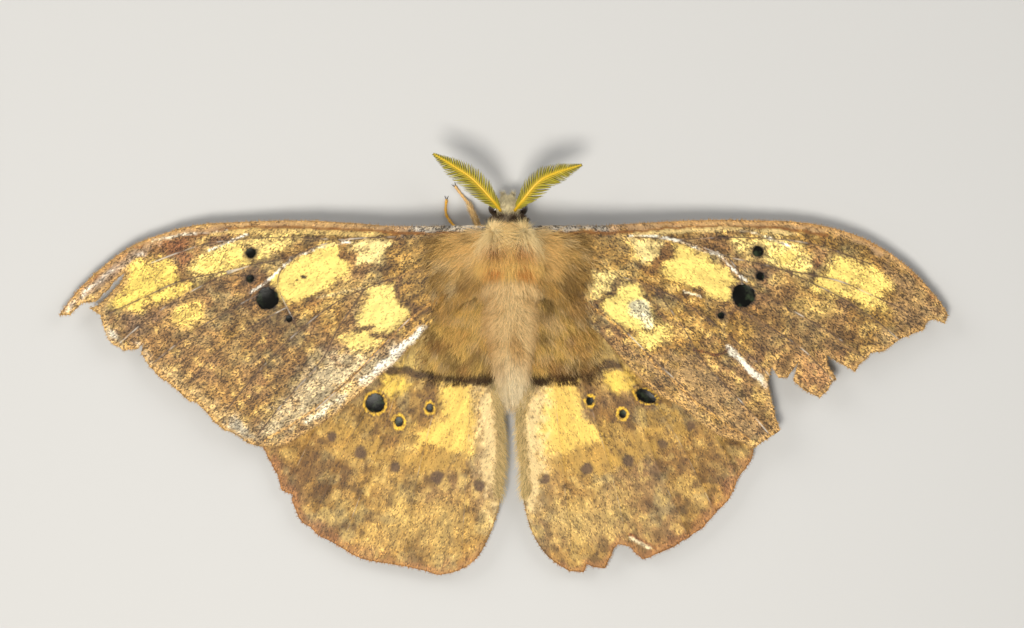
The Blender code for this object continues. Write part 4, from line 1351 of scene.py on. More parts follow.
def forewing_left() -> Wing:
    """The left forewing, worn at its tip and margin."""
    outline = (
        (Edge.SMOOTH, ((-2.3, 17.8), (-4.6, 17.9), (-13.5, 17.8), (-20.0, 18.3), (-26.5, 18.6),
            (-33.0, 18.5), (-39.5, 18.1), (-43.4, 17.2), (-47.8, 15.6), (-51.2, 13.4), (-55.1, 9.9),
            (-57.85, 6.4))),
        (Edge.TORN, ((-56.4, 6.4), (-54.9, 7.8), (-53.1, 8.2), (-51.4, 9.7), (-50.6, 10.8),
            (-49.2, 12.0), (-49.6, 10.7), (-50.8, 9.5), (-52.6, 7.7), (-53.8, 7.3), (-52.5, 6.4),
            (-51.9, 4.4), (-51.4, 3.0), (-49.4, 1.75), (-47.5, 1.95), (-46.7, 2.9), (-47.1, 1.4),
            (-46.0, -0.4), (-44.7, -1.6), (-41.8, -3.9), (-40.7, -4.9), (-39.8, -5.0), (-37.9, -7.15),
            (-36.6, -8.3), (-34.6, -9.2), (-33.2, -10.3))),
        (Edge.SMOOTH, ((-31.7, -10.7), (-29.6, -10.7), (-27.6, -10.1), (-25.2, -8.6), (-22.3, -6.9),
            (-19.7, -4.7), (-13.5, 0.8), (-10.2, 4.3), (-7.6, 6.8), (-4.4, 9.6), (-2.2, 11.0))),
    )
    windows = (
        Window(-30.6, 8.5, 1.4),
        Window(-32.75, 14.4, 0.62, halo=0.45),
        Window(-32.85, 11.1, 0.5, halo=0.5),
        Window(-27.75, 5.9, 0.42, halo=0.45),
    )
    marks = (
        area("#937238", ((-2, 17), (-13, 16.5), (-13.8, 11), (-12.5, 7.8), (-8, 7), (-2, 10)), 1.5,
            broken=0.5),
        area("#bd9856", ((-2, 18), (-9, 16.2), (-9, 12.5), (-5.5, 10.5), (-2, 11)), 1.4, broken=0.3,
            speck=0.5),
        area("#7f6335", ((-14, 16.6), (-25, 16.6), (-36, 17), (-36, 15.6), (-27, 13.9), (-20, 15.9)),
            0.6, strength=0.8),
        area("#e3c877", ((-24.5, 17), (-31, 17), (-39.8, 14.2), (-40.4, 12), (-39.7, 10.8), (-35, 12.3),
            (-31, 14)), 0.6),
        area(YELLOW, ((-40.2, 12.1), (-39.6, 13.6), (-36.9, 14.5), (-33.6, 15.6), (-31.4, 13.9),
            (-34.5, 12.6), (-39, 11.2)), 0.4, speck=0.5),
        area("#f0cf64", ((-48.9, 12.7), (-47.3, 13.6), (-44.6, 13.9), (-42.5, 12.7), (-42.3, 10.8),
            (-40.4, 9.9), (-41.8, 8.9), (-45.4, 7.7), (-47.3, 6.7), (-50.3, 6.9), (-51, 7.9),
            (-49.6, 9)), 0.6, speck=0.5),
        area("#e9c867", ((-43.2, 6.8), (-39.2, 8), (-38.7, 6), (-40.5, 4.8), (-42.5, 5.2)), 0.6,
            strength=0.8, broken=0.7),
        area("#7b4a2b", ((-44.2, 16.3), (-41.5, 16.2), (-40.3, 14.2), (-41.7, 12.4), (-42.6, 14),
            (-44, 14.4)), 0.6, strength=0.7),
        area(YELLOW, ((-30, 11.2), (-29.4, 8.2), (-26.5, 8), (-22.6, 10.2), (-19.8, 12.5),
            (-20.6, 13.3), (-21.5, 14), (-21.3, 15.8), (-23.9, 15.2), (-26.5, 13.8), (-28.4, 12.4)),
            0.35, broken=0.12, speck=0.35),
        area(PALE_YELLOW, ((-19.6, 16.1), (-14.5, 16.2), (-15.4, 14.6), (-17.2, 13), (-18.9, 13)), 0.45,
            speck=0.5),
        area("#c3a561", ((-24.1, 9.8), (-18, 11.5), (-17.4, 9.4), (-22, 8)), 0.8, strength=0.5),
        area("#ecd076", ((-17, 9.9), (-14.1, 10.2), (-14.1, 8.6), (-12.2, 7.3), (-12.8, 5.5),
            (-14.4, 4.2), (-16.1, 3.8), (-17, 4.9), (-18.4, 4.8), (-18.7, 6.4), (-17.9, 8.5)), 0.4,
            broken=0.15, speck=0.35),
        area("#e6c971", ((-21.6, 3.5), (-20.5, 4.3), (-17.4, 4.4), (-16.3, 3.1), (-15.1, 3.1),
            (-17, 1.8), (-19, 1.8)), 0.5, speck=0.5),
        area("#b6a480", ((-24, 1), (-16.5, 1.2), (-12, 3.5), (-22, -6), (-31, -10), (-33, -9)), 1.2,
            broken=0.4),
        area("#836439", ((-34, 9), (-27, 3), (-24, -2), (-33, -8), (-44, -1), (-47, 3)), 2.0,
            strength=0.5, broken=0.6),
        area("#c7a873", ((-33, -9.8), (-37, -7.4), (-46.4, 0.2), (-44, -0.5), (-36.5, -5.5),
            (-32.5, -7.5)), 0.8, strength=0.7),
        area("#6f5a4a", ((-51.6, 3.2), (-47, 4), (-41, 8.6), (-46, 7.4), (-50.5, 6.2)), 0.7,
            strength=0.6),
        area("#b5b0a2", ((-52.8, 5.4), (-51.2, 5.2), (-50.4, 3.4), (-49.4, 2), (-51.4, 3)), 0.35,
            broken=0.5),
        area("#aca798", ((-48, 2.8), (-46.2, 2.2), (-46, -0.2), (-46.9, 1.2)), 0.35, broken=0.5),
        area("#aba08a", ((-36.6, -8), (-34.8, -6.6), (-32.2, -9.6), (-33.4, -10.3)), 0.5, broken=0.5),
        area("#a98d70", ((-57.8, 6.4), (-55, 9.6), (-51.2, 13.2), (-47.8, 15.2), (-43.4, 16.8),
            (-48, 14), (-51.6, 10.6), (-55.4, 7.6)), 0.4, speck=0.5),
        stripe("#e0d6c8", ((-56.8, 6.9), (-53.8, 9.8), (-50.6, 12.4), (-47.4, 14.3)), 0.28, broken=0.7,
            strength=0.6),
        stripe("#8c4f22", ((-57.2, 7.4), (-54.9, 9.9), (-51.2, 13.2), (-47.8, 15.4), (-43.4, 17),
            (-39.5, 17.8), (-33, 18.2)), 0.24, strength=0.85, speck=0.3),
        area("#807a72", ((-2, 18.2), (-14, 18.2), (-13, 16.9), (-2, 16.7)), 0.3, broken=0.2, speck=1.6),
        stripe("#a8865e", ((-12, 17.6), (-26, 18.2), (-36, 18), (-42, 17.1), (-46.5, 15.5)), 0.42,
            strength=0.9, broken=0.15, speck=0.3),
        stripe("#7c4f1e", ((-4, 16.8), (-13.5, 17), (-20, 17.5), (-28, 17.7), (-36, 17.4), (-41, 16.6)),
            0.2, ragged=0.2, broken=0.1, speck=0.2),
        stripe("#c9ab66", ((-16, 16.7), (-22, 17.0), (-30, 17.3), (-38, 16.9)), 0.3, strength=0.85,
            ragged=0.2, speck=0.3),
        stripe(UMBER, ((-13.5, 10.6), (-13.9, 9.4), (-13.5, 8.3), (-12.2, 7.7), (-11.8, 6.8),
            (-10.9, 6.9), (-9.5, 7.1), (-8.1, 7.1), (-7.6, 6.5)), 0.42, strength=0.85),
        stripe(UMBER, ((-19.7, 6.5), (-19.2, 5.7), (-18.9, 4.6), (-17.7, 4.7), (-16.8, 4.9)), 0.32,
            strength=0.85),
        stripe(UMBER, ((-17, 3.7), (-16.2, 3.4), (-15.1, 3.7), (-14.2, 4.3)), 0.3, strength=0.85),
        stripe("#744c27", ((-6.6, 11.4), (-4.4, 10.5), (-3.4, 9.4)), 0.28, strength=0.6),
        spot("#6b4a22", -20.7, 14.2, 0.75, strength=0.85),
        spot("#2a1d12", -25.8, 11.4, 0.3, ragged=0.5),
        spot("#3a2918", -26.6, 11.0, 0.2, ragged=0.5),
        stripe(RUBBED, ((-32.8, 9.2), (-30.2, 11.1), (-26.9, 13.9), (-23.4, 15.1), (-20, 15.9)), 0.13,
            broken=0.8, speck=0.3, ragged=0.15),
        stripe(RUBBED, ((-38.5, 14.6), (-36.2, 15.6), (-33.3, 16.8)), 0.12, broken=0.8, ragged=0.15),
        stripe("#dcd2bd", ((-45.5, 16.1), (-41, 16.9), (-36, 17.3)), 0.14, broken=0.7, ragged=0.15),
        stripe(RUBBED, ((-10.2, 4.9), (-12.6, 2.6), (-15.5, -0.2), (-18, -2.4)), 0.5, strength=0.85,
            broken=0.5, speck=0.5),
        stripe("#e6dcc0", ((-18, -2.4), (-22, -5.4), (-26, -7.6)), 0.4, strength=0.6, broken=0.6),
        stripe("#b98a44", ((-7, 9.4), (-12.5, 5.5), (-16.1, 2), (-18.7, -0.8), (-21.4, -3.2),
            (-24.9, -6.2), (-31, -9.9)), 0.14, ragged=0.15),
        stripe("#c9b483", ((-18, 9.9), (-24.1, 8.6)), 0.14, strength=0.7, ragged=0.1),
    )
    return Wing("forewing_left", outline, FOREWING_VEINS, windows, marks, FOREWING_ROOT,
                FOREWING_GROUND, "#b9935a", FOREWING_SLOPE, 11)


def forewing_right() -> Wing:
    """The right forewing, with a deep tear and an overlapped seam above its hind corner."""
    outline = (
        (Edge.SMOOTH, ((3.66, 17.8), (5.5, 17.9), (12.5, 17.9), (19.0, 18.3), (25.5, 18.65),
            (32.0, 18.65), (38.5, 18.4), (43.7, 17.4), (47.7, 15.9), (51.5, 13.5), (54.5, 10.8),
            (57.0, 7.8), (57.85, 6.4))),
        (Edge.TORN, ((57.4, 5.2), (56.1, 5.85), (55.05, 5.6), (54.7, 4.55), (53.4, 4.0), (51.6, 3.25),
            (49.5, 1.75), (47.7, 1.4), (46.9, 0.5), (46.1, -0.2), (45.7, -1.0), (43.7, 0.1),
            (41.9, 1.2), (42.2, -0.3), (43.2, -1.95), (42.4, -2.6), (42.2, -3.4), (41.1, -4.4),
            (39.2, -3.5), (37.6, -2.1), (38.4, 0.5), (36.9, -1.8), (35.8, -1.8), (34.8, -0.3),
            (34.25, -2.3), (34.7, -4.2), (35.3, -6.6), (35.9, -8.7), (34.9, -9.2), (33.6, -10.1))),
        (Edge.SMOOTH, ((32.4, -11.0), (30.5, -10.0), (27.4, -9.0), (23.5, -5.85), (19.7, -3.6),
            (16.2, -0.3), (12.5, 3.8), (8.6, 6.8), (5.9, 9.3), (3.83, 11.0))),
    )
    windows = (
        Window(31.1, 8.9, 1.45),
        Window(33.0, 14.6, 0.66, halo=0.5),
        Window(33.3, 11.4, 0.5, halo=0.45),
        Window(28.2, 6.3, 0.42, halo=0.45),
    )
    marks = (
        area("#937238", ((4, 17), (15, 16.5), (16, 12), (13, 12.8), (9, 8), (4, 10)), 1.5, broken=0.5),
        area("#bd9856", ((3, 18), (11, 16.2), (11, 12.5), (7.5, 10.5), (3, 11)), 1.4, broken=0.3,
            speck=0.5),
        area("#7d5c2e", ((21.5, 16.6), (30, 16.9), (32, 16), (28.5, 14.5), (25, 15.2)), 0.5,
            strength=0.7),
        area("#e8cf80", ((29.1, 16.6), (33.5, 16.4), (38.5, 15.6), (40, 12.6), (38.5, 11.4),
            (36.2, 12.5), (34.4, 13.2), (32.3, 13.5), (30, 14.6)), 0.5, broken=0.4),
        area(YELLOW, ((34, 15.4), (38.3, 14.8), (39, 12), (36.2, 12.9)), 0.5, broken=0.4, speck=0.5),
        area(YELLOW, ((43.3, 14.2), (47.6, 13.3), (50.2, 10.9), (50.9, 9.6), (48.9, 9.4), (49.6, 7.7),
            (47.6, 6.8), (45, 8.3), (41.1, 9.4), (40.1, 10.5), (42.4, 12.2)), 0.5, broken=0.3,
            speck=0.5),
        area("#dcbc6a", ((38, 9), (42.4, 8.2), (43.4, 6.4), (40, 6.2), (37, 7.4)), 0.6, strength=0.7,
            broken=0.6),
        area("#7b4a2b", ((40, 15.4), (42, 14.6), (41.6, 12.4), (40.2, 12.6), (39.4, 14.2)), 0.5,
            strength=0.55),
        area(YELLOW, ((20.9, 12.8), (21.9, 13.7), (21.9, 15.1), (21.2, 15.9), (22.7, 15.7),
            (24.4, 14.8), (26.4, 14.1), (27.8, 13.2), (29.1, 12.1), (30.1, 10.7), (29.2, 10),
            (29.4, 8.6), (28.4, 8.2), (26.6, 9.1), (25.5, 10), (23.7, 10.3), (21.9, 11), (20.7, 11.9)),
            0.35, broken=0.12, speck=0.35),
        area(PALE_YELLOW, ((15.5, 16.4), (20.7, 16.3), (20.3, 15.1), (19.1, 13.2), (18, 13.2),
            (17.1, 14.6)), 0.45, speck=0.5),
        stripe("#6e4c24", ((21.2, 15.4), (20.7, 14), (19.8, 12.5)), 0.62, strength=0.9),
        area("#dcc47c", ((11.2, 12.1), (15.5, 11.9), (15.2, 10.7), (14.1, 9.1), (12.3, 8.2),
            (10.8, 8.4)), 0.5, broken=0.4),
        area("#f2d777", ((14.8, 10.2), (17.1, 10.3), (18.4, 8.9), (19.6, 6.4), (19.4, 5.2), (17.5, 4.1),
            (15.9, 4.6), (14.1, 5.2), (12.8, 7.1), (13, 8.2), (14.3, 8.6)), 0.4, broken=0.1,
            speck=0.35),
        spot("#cfc9ae", 17.6, 7.3, 1.5, strength=0.85, broken=0.5),
        spot("#cfc9ae", 18.4, 5.6, 1.0, strength=0.7, broken=0.5),
        area("#edd074", ((15.9, 3.4), (17.5, 4.1), (19.4, 3.9), (20.3, 5.5), (21.8, 5.3), (21.4, 3.7),
            (19.8, 2.5), (18.4, 1.8), (17.1, 2.5)), 0.5, speck=0.5),
        area("#d5ad62", ((21.5, 5.2), (25.5, 5.4), (25, 3.8), (22, 3.4)), 0.6, strength=0.6),
        area("#9a7c50", ((24, 1), (18.5, 1.2), (14, 3.5), (24, -6), (32, -10), (34.5, -9), (30, -2)),
            1.2, broken=0.4),
        area("#755a34", ((36, 9.5), (33, 6), (30, 1), (35, 0), (44, 1), (48, 3), (45, 6.4)), 1.6,
            strength=0.6, broken=0.5),
        area("#957850", ((57, 7), (53.5, 10.5), (49, 13.6), (51, 9), (50, 5), (48, 2), (54, 4.6)), 1.0,
            strength=0.75),
        area("#a67c4c", ((38, 1), (42, 1), (43, -2), (41, -4), (38, -2)), 0.6, strength=0.6),
        area("#807a72", ((3, 18.2), (15.5, 18.2), (14.5, 17), (3, 16.8)), 0.3, broken=0.2, speck=1.6),
        stripe("#a8865e", ((14, 17.7), (27, 18.3), (37, 18.1), (43.7, 17.1), (48, 15.4), (52, 12.8)),
            0.42, strength=0.9, broken=0.15, speck=0.3),
        stripe("#8c4f22", ((20, 18.2), (30, 18.5), (38.5, 18.2), (43.7, 17.2), (47.7, 15.7),
            (51.5, 13.3), (56, 8.6)), 0.18, strength=0.8, ragged=0.2, speck=0.3),
        stripe("#7c4f1e", ((6, 16.8), (14, 17), (21, 17.5), (29, 17.8), (37, 17.5), (42, 16.7)), 0.2,
            ragged=0.2, broken=0.1, speck=0.2),
        stripe("#cdb274", ((17, 16.8), (20, 17.0), (26, 17.4), (31, 17.5), (38, 16.9)), 0.28,
            strength=0.9, ragged=0.2, speck=0.3),
        stripe(UMBER, ((14.8, 11), (14.1, 10), (13.9, 8.9), (12.3, 8.2), (11, 7.4), (9.7, 7.5),
            (8.6, 7.3), (7.9, 6.2)), 0.4, strength=0.85),
        stripe(UMBER, ((13.8, 5.3), (14.6, 4.5), (15.4, 4), (16.8, 4.3)), 0.3, strength=0.8),
        stripe(UMBER, ((19.8, 6.6), (21.2, 5.5), (22.7, 5), (24.4, 4.8)), 0.32, strength=0.8),
        spot("#5e4227", 23.0, 6.6, 0.4, strength=0.8),
        stripe("#1c140c", ((28.0, 16.6), (28.6, 16.5), (29.1, 16.3)), 0.2, ragged=0.15, broken=0.0),
        stripe(RUBBED, ((16.2, 16.5), (18.7, 16.6), (20.7, 16.4), (22.7, 15.9), (24.4, 15.3),
            (26, 14.5), (27.6, 14.3), (28.9, 13.2), (30.1, 11.9), (31.6, 10.7)), 0.12, broken=0.75,
            speck=0.3, ragged=0.12),
        stripe(RUBBED, ((30.8, 17.3), (32.6, 17), (34.2, 16.4), (35.3, 15.9), (37.1, 15.3)), 0.13,
            broken=0.75, ragged=0.12),
        stripe("#d8cdb2", ((23.4, 9.4), (25.5, 8.8)), 0.12, ragged=0.1),
        stripe("#efe6d2", ((29.2, 2.0), (30.6, 0.6), (32.0, -0.8), (33.2, -1.9), (34.0, -2.7)), 0.34,
            broken=0.25, ragged=0.3, speck=0.4),
        # A painted shadow: the dark line under the overlapped edge of the seam.
        stripe("#5a3518", ((24.6, 1.9), (26.0, 1.5), (27.4, 1.2), (28.5, 1.4), (29.2, 2.0)), 0.16,
            broken=0.1, ragged=0.15),
        stripe("#b98a44", ((8.6, 9.4), (14, 5.5), (17.6, 2), (20.3, -0.8), (23, -3.2), (26.5, -6.2),
            (32, -9.9)), 0.12, strength=0.8, ragged=0.15),
    )
    return Wing("forewing_right", outline, mirrored(FOREWING_VEINS), windows, marks, FOREWING_ROOT,
                FOREWING_GROUND, "#b9935a", FOREWING_SLOPE, 12)


def hindwing_left() -> Wing:
    """The left hindwing, with three clear spots in yellow rings."""
    outline = (
        (Edge.SMOOTH, ((-2.15, 10.5), (-4.4, 10.2), (-10.9, 8.0), (-18.7, 3.1), (-26.5, -4.0),
            (-30.6, -8.6))),
        (Edge.TORN, ((-31.4, -10.7), (-30.9, -11.8), (-29.6, -14.3), (-28.9, -16.5), (-27.4, -17.0),
            (-27.6, -17.8), (-26.7, -20.15), (-24.2, -22.2))),
        (Edge.SMOOTH, ((-21.6, -23.7), (-18.5, -25.4), (-13.4, -26.3), (-10.2, -27.0), (-8.25, -27.5),
            (-5.65, -26.8), (-3.4, -25.2), (-1.9, -22.4), (-0.7, -18.9), (-0.26, -15.2), (0.05, -12.0),
            (0.0, -9.6), (-0.26, -6.5), (-0.6, -4.3), (-1.2, -1.0), (-1.9, 3.0), (-2.3, 6.0),
            (-2.35, 8.4))),
    )
    windows = (
        Window(-16.7, -5.1, 1.2, ring=0.42, halo=0.15),
        Window(-13.6, -7.5, 0.5, 0.62, ring=0.42, halo=0.2),
        Window(-9.6, -5.7, 0.42, 0.5, ring=0.42, halo=0.25),
    )
    marks = (
        area("#ae9150", ((-1, 10), (-18, 4), (-16, -0.6), (-8, -1.2), (-1, -1.6)), 1.0, broken=0.3,
            speck=0.6),
        area("#e2c36c", ((-14, 1), (-11, 1.2), (-11, -0.6), (-14, -0.4)), 0.8, strength=0.6,
            broken=0.5),
        area("#e8c255", ((-16, -1.8), (-14.8, -1), (-12, -2.2), (-12.9, -3.5), (-14.3, -4.5),
            (-15.6, -3.9)), 0.4, broken=0.2, speck=0.45),
        area("#e3bb5a", ((-8.4, -2.3), (-4, -2.8), (-3.9, -8), (-4.3, -12.2), (-7.4, -11.4),
            (-11.4, -11), (-12, -8.6), (-9.4, -8), (-8, -6)), 0.7, broken=0.25, speck=0.5),
        area("#b08a40", ((-22.2, -7.1), (-19.8, -6.2), (-19.6, -8.1), (-18.6, -9.6), (-16.2, -9.6),
            (-15.4, -10.9), (-11.2, -11.3), (-8.2, -10.9), (-4.8, -12.1), (-4.8, -13.8), (-9, -14.4),
            (-12, -14), (-15.4, -13.4), (-17.5, -12.3), (-20.5, -11.9), (-22.6, -10), (-23.2, -7.7)),
            0.6, broken=0.4, speck=0.6),
        spot("#8b6b2c", -18.0, -8.0, 1.35, strength=0.8),
        spot("#a8853f", -12.4, -9.5, 1.3, strength=0.75),
        spot("#a37d37", -9.8, -11.7, 1.2, strength=0.75),
        spot("#a8853f", -14.6, -8.8, 0.8, strength=0.5),
        area("#6d4b22", ((-31, -11), (-21, -11.9), (-19.8, -15), (-23, -16.4), (-28.6, -15.4)), 1.2,
            strength=0.75, broken=0.5),
        area("#bd9b56", ((-15, -17), (-6, -17), (-3, -21), (-8, -26), (-18, -24)), 2.0, strength=0.6,
            broken=0.4),
        spot("#8c7440", -20.6, -18.3, 1.2, strength=0.6, broken=0.6),
        spot("#9c7f45", -13.9, -21.0, 1.1, strength=0.5, broken=0.6),
        spot("#8f7542", -20.2, -16.4, 0.8, strength=0.5, broken=0.6),
        area("#e8cb90", ((-3.4, -3), (0, -3), (0.5, -14), (-1, -20), (-2.8, -16), (-3.2, -9)), 1.6,
            strength=0.9, speck=0.2, broken=0.1),
        stripe("#40280f", ((-14.8, -0.7), (-12.6, -0.7), (-11.2, -1.35), (-9.9, -1.25), (-8, -1.35),
            (-5.9, -1.6), (-4.2, -2.1), (-2.7, -2), (-1, -1.7)), 0.55, strength=0.9, broken=0.15,
            ragged=0.4),
        *dark_spots(0.9, (-22.4, -9.4, 0.68), (-18.6, -11.5, 0.80), (-14.1, -13.5, 0.73),
            (-8.6, -14.7, 0.88), (-3.3, -15.8, 0.73)),
        spot("#76562f", -9.5, -4.5, 0.75, strength=0.7),
        area("#98623a", ((-31.6, -10.7), (-27.4, -20.6), (-21.6, -24.2), (-8.25, -27.8), (-3, -25.4),
            (-4.6, -24.6), (-8.4, -26.4), (-21, -22.8), (-26.2, -18.8), (-29.6, -12)), 0.6,
            strength=0.5, broken=0.5),
    )
    return Wing("hindwing_left", outline, HINDWING_VEINS, windows, marks, HINDWING_ROOT,
                HINDWING_GROUND, "#a17040", HINDWING_SLOPE, 13, speckled=0.55, veined=0.3)


def hindwing_right() -> Wing:
    """The right hindwing, with a torn lower margin and a long clear spot."""
    outline = (
        (Edge.SMOOTH, ((3.84, 10.5), (5.4, 10.2), (11.9, 8.0), (19.7, 3.1), (27.5, -4.0),
            (31.8, -8.6))),
        (Edge.TORN, ((32.6, -11.4), (32.3, -12.6), (30.5, -15.0), (29.3, -17.9), (27.9, -19.1),
            (26.1, -21.3), (22.8, -23.5), (19.4, -25.1), (18.2, -25.5), (16.4, -23.9), (15.0, -23.5),
            (14.4, -24.05), (13.6, -25.9), (13.2, -26.65), (11.8, -26.5), (10.9, -26.1),
            (10.5, -27.2))),
        (Edge.SMOOTH, ((8.5, -27.0), (5.9, -25.2), (3.9, -22.3), (2.7, -18.3), (2.2, -12.2),
            (1.8, -7.8), (2.0, -5.9), (2.6, -4.0), (3.4, -1.0), (3.9, 3.0), (4.15, 6.0), (4.1, 8.4))),
    )
    windows = (
        Window(18.5, -4.2, 1.35, 0.75, lean=-28, ring=0.3, halo=0.15),
        Window(15.5, -6.5, 0.45, 0.5, ring=0.42, halo=0.2),
        Window(11.2, -4.8, 0.42, 0.5, ring=0.42, halo=0.25),
    )
    marks = (
        area("#ae9150", ((3, 10), (19, 4), (17, -0.2), (9, -0.8), (3, -1.6)), 1.0, broken=0.3,
            speck=0.6),
        area("#e8c255", ((13.2, -0.9), (16, -0.8), (17.6, -2.2), (16.4, -3.7), (14.4, -3.9),
            (12.9, -2.4)), 0.5, broken=0.2, speck=0.45),
        area("#e3bb5a", ((5, -2.4), (9.4, -1.8), (10.2, -6.6), (12.6, -8), (13.4, -10.4), (9.4, -11.2),
            (5.4, -12), (4.6, -8)), 0.7, broken=0.25, speck=0.5),
        area("#b08a40", ((23.2, -6.6), (20.4, -6), (19.6, -8), (17, -9), (14, -9.6), (9.4, -11),
            (6, -12), (6, -13.8), (10.9, -14.6), (16.2, -13.6), (20.7, -11.6), (24.6, -9.2)), 0.6,
            broken=0.4, speck=0.6),
        spot("#8b6b2c", 19.8, -6.8, 1.2, strength=0.8),
        spot("#a8853f", 14.2, -8.8, 1.3, strength=0.75),
        spot("#a37d37", 12.0, -11.4, 1.2, strength=0.75),
        area("#6d4b22", ((32, -11), (24.4, -9.6), (21.6, -13), (24.6, -15.6), (30, -15)), 1.2,
            strength=0.65, broken=0.5),
        area("#c9a862", ((16, -16), (8, -17), (4.6, -20), (8, -25), (18, -22)), 2.0, strength=0.6,
            broken=0.4),
        spot("#8c7440", 22.0, -16.6, 1.2, strength=0.6, broken=0.6),
        spot("#9c7f45", 15.4, -19.6, 1.1, strength=0.5, broken=0.6),
        area("#e8cb90", ((5.2, -3), (2, -4), (1.6, -14), (3, -20), (5.0, -16), (5.0, -9)), 1.6,
            strength=0.9, speck=0.2, broken=0.1),
        stripe("#40280f", ((2.4, -2.2), (4.7, -1.8), (6.4, -1.2), (8.6, -1.0), (11.2, -0.7),
            (13.2, -0.1), (14.8, 0.0)), 0.55, strength=0.9, broken=0.15, ragged=0.4),
        *dark_spots(0.85, (24.2, -8.2, 0.63), (20.7, -10.4, 0.68)),
        *dark_spots(0.9, (16.2, -12.6, 0.78), (10.9, -13.6, 0.83), (5.4, -15.0, 0.78)),
        spot("#76562f", 11.1, -3.6, 0.75, strength=0.7),
        area("#98623a", ((32.8, -11), (28.6, -20), (22.8, -24), (18.2, -25.8), (20.6, -23.4), (26, -20),
            (30.6, -12)), 0.6, strength=0.5, broken=0.5),
        stripe("#7c4a24", ((16.4, -22.3), (17.6, -22.9), (19.0, -23.6), (19.8, -24.1)), 0.2,
            strength=0.9, ragged=0.2),
        stripe("#e6d2a8", ((16.6, -22.8), (17.8, -23.4), (19.0, -24.0)), 0.2, strength=0.9, ragged=0.2),
    )
    return Wing("hindwing_right", outline, mirrored(HINDWING_VEINS), windows, marks, HINDWING_ROOT,
                HINDWING_GROUND, "#a17040", HINDWING_SLOPE, 14, speckled=0.55, veined=0.3)


# Feelers, legs, eyes and palps


@dataclass(frozen=True)
class Feeler:
    """One feathered antenna of a male: a midrib with two pairs of branches at each joint."""

    side: Side
    path: Path
    joints: int = 33
    slant: float = 54.0
    longest: tuple[float, float] = (1.85, 2.45)
    branch_width: float = 0.2
    branch_tones: tuple[str, str] = ("#a3982c", "#64591a")

    def reach(self, t: Array) -> Array:
        """How long the branches are along the feeler, as a share of the longest."""
        return np.interp(t, (0, 0.1, 0.3, 0.5, 0.7, 0.85, 1), (0.35, 0.68, 1.0, 0.96, 0.72, 0.42, 0.1))

    def build(self, midrib: bpy.types.Material, branch: bpy.types.Material) -> None:
        """Makes the midrib and its branches, which ride with the body."""
        line_points = spline(self.path, 0.12)
        t = np.linspace(0, 1, len(line_points))
        radii = np.interp(t, (0, 0.08, 0.3, 1), (0.22, 0.19, 0.16, 0.06))
        beads = radii * (1 + 0.1 * np.cos(t * 2 * math.pi * self.joints))
        across = np.array([UP])
        points, faces = tapered(line_points[None], beads[None, :-1], across, 12)
        name = "antenna_" + self.side.name.lower()
        stem = mesh_object(name + "_midrib", points.reshape(-1, 3), faces, midrib)
        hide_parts(name)
        self.finish(stem)
        self.finish(self.build_branches(name + "_branches", line_points, t, branch))

    def build_branches(
        self, name: str, line_points: Array, t: Array, material: bpy.types.Material
    ) -> bpy.types.Object:
        """Makes the branches: at each joint a fore pair and, half a joint on, a hind pair.

        Args:
            name: The piece's name.
            line_points: The midrib's centre line.
            t: How far along it each of those points lies, from 0 to 1.
            material: The branches' finish.

        Returns:
            The piece.
        """
        parts, corners = 5, 4
        spots = np.linspace(0.07, 0.985, self.joints)
        steps = np.linspace(0, 1, parts + 1)[:, None]
        paths, tones, places = [], [], []
        rng = np.random.default_rng(31 + self.side.value)
        for row, (share, lift) in enumerate(((0.0, 0.25), (0.5, -0.1))):
            for spot_at in spots + share * (spots[1] - spots[0]):
                if spot_at > 1:
                    continue
                here = at_run(spot_at, t, line_points)
                ahead = at_run(min(spot_at + 0.02, 1), t, line_points) - here
                ahead = ahead if np.linalg.norm(ahead) > 1e-6 else line_points[-1] - line_points[-3]
                ahead = ahead / np.linalg.norm(ahead)
                flank = np.cross(ahead, UP)
                for hand in (1, -1):
                    front = hand * self.side.value < 0
                    long = self.longest[0 if front else 1] * float(self.reach(np.array(spot_at)))
                    long *= rng.uniform(0.94, 1.05) * (1.0 if row == 0 else 0.93)
                    turn = math.radians(self.slant + rng.normal(0, 1.5))
                    out = ahead * math.cos(turn) + flank * hand * math.sin(turn)
                    curl = ahead * 0.16 * long
                    droop = np.array(UP) * (lift * long * (steps - 1.15 * steps**2))
                    paths.append(here + out * long * steps + curl * steps**2 + droop)
                    tones.append(linear(self.branch_tones[row]) * rng.normal(1, 0.12))
                    places.append((0.05 + 0.9 * spot_at, 0.5 + hand * (0.15 + 0.2 * row)))
        width = np.linspace(1.0, 0.5, parts)[None] * self.branch_width / 2
        up = np.tile(UP, (len(paths), 1))
        points, faces = tapered(np.stack(paths), np.repeat(width, len(paths), axis=0), up, corners)
        piece = mesh_object(name, points.reshape(-1, 3), faces, material)
        along = np.repeat(np.arange(parts + 1) / parts, [corners] * parts + [1])
        shade = np.clip(along * 3.0, 0, 1)[None, :, None]
        base = linear("#d2b024")
        paint(piece, (np.stack(tones)[:, None, :] * shade + base * (1 - shade)).reshape(-1, 3))
        map_tapers(piece, np.array(places), along, corners)
        return piece

    @staticmethod
    def finish(piece: bpy.types.Object) -> None:
        """Makes a piece ride with the body."""
        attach(piece, "root")


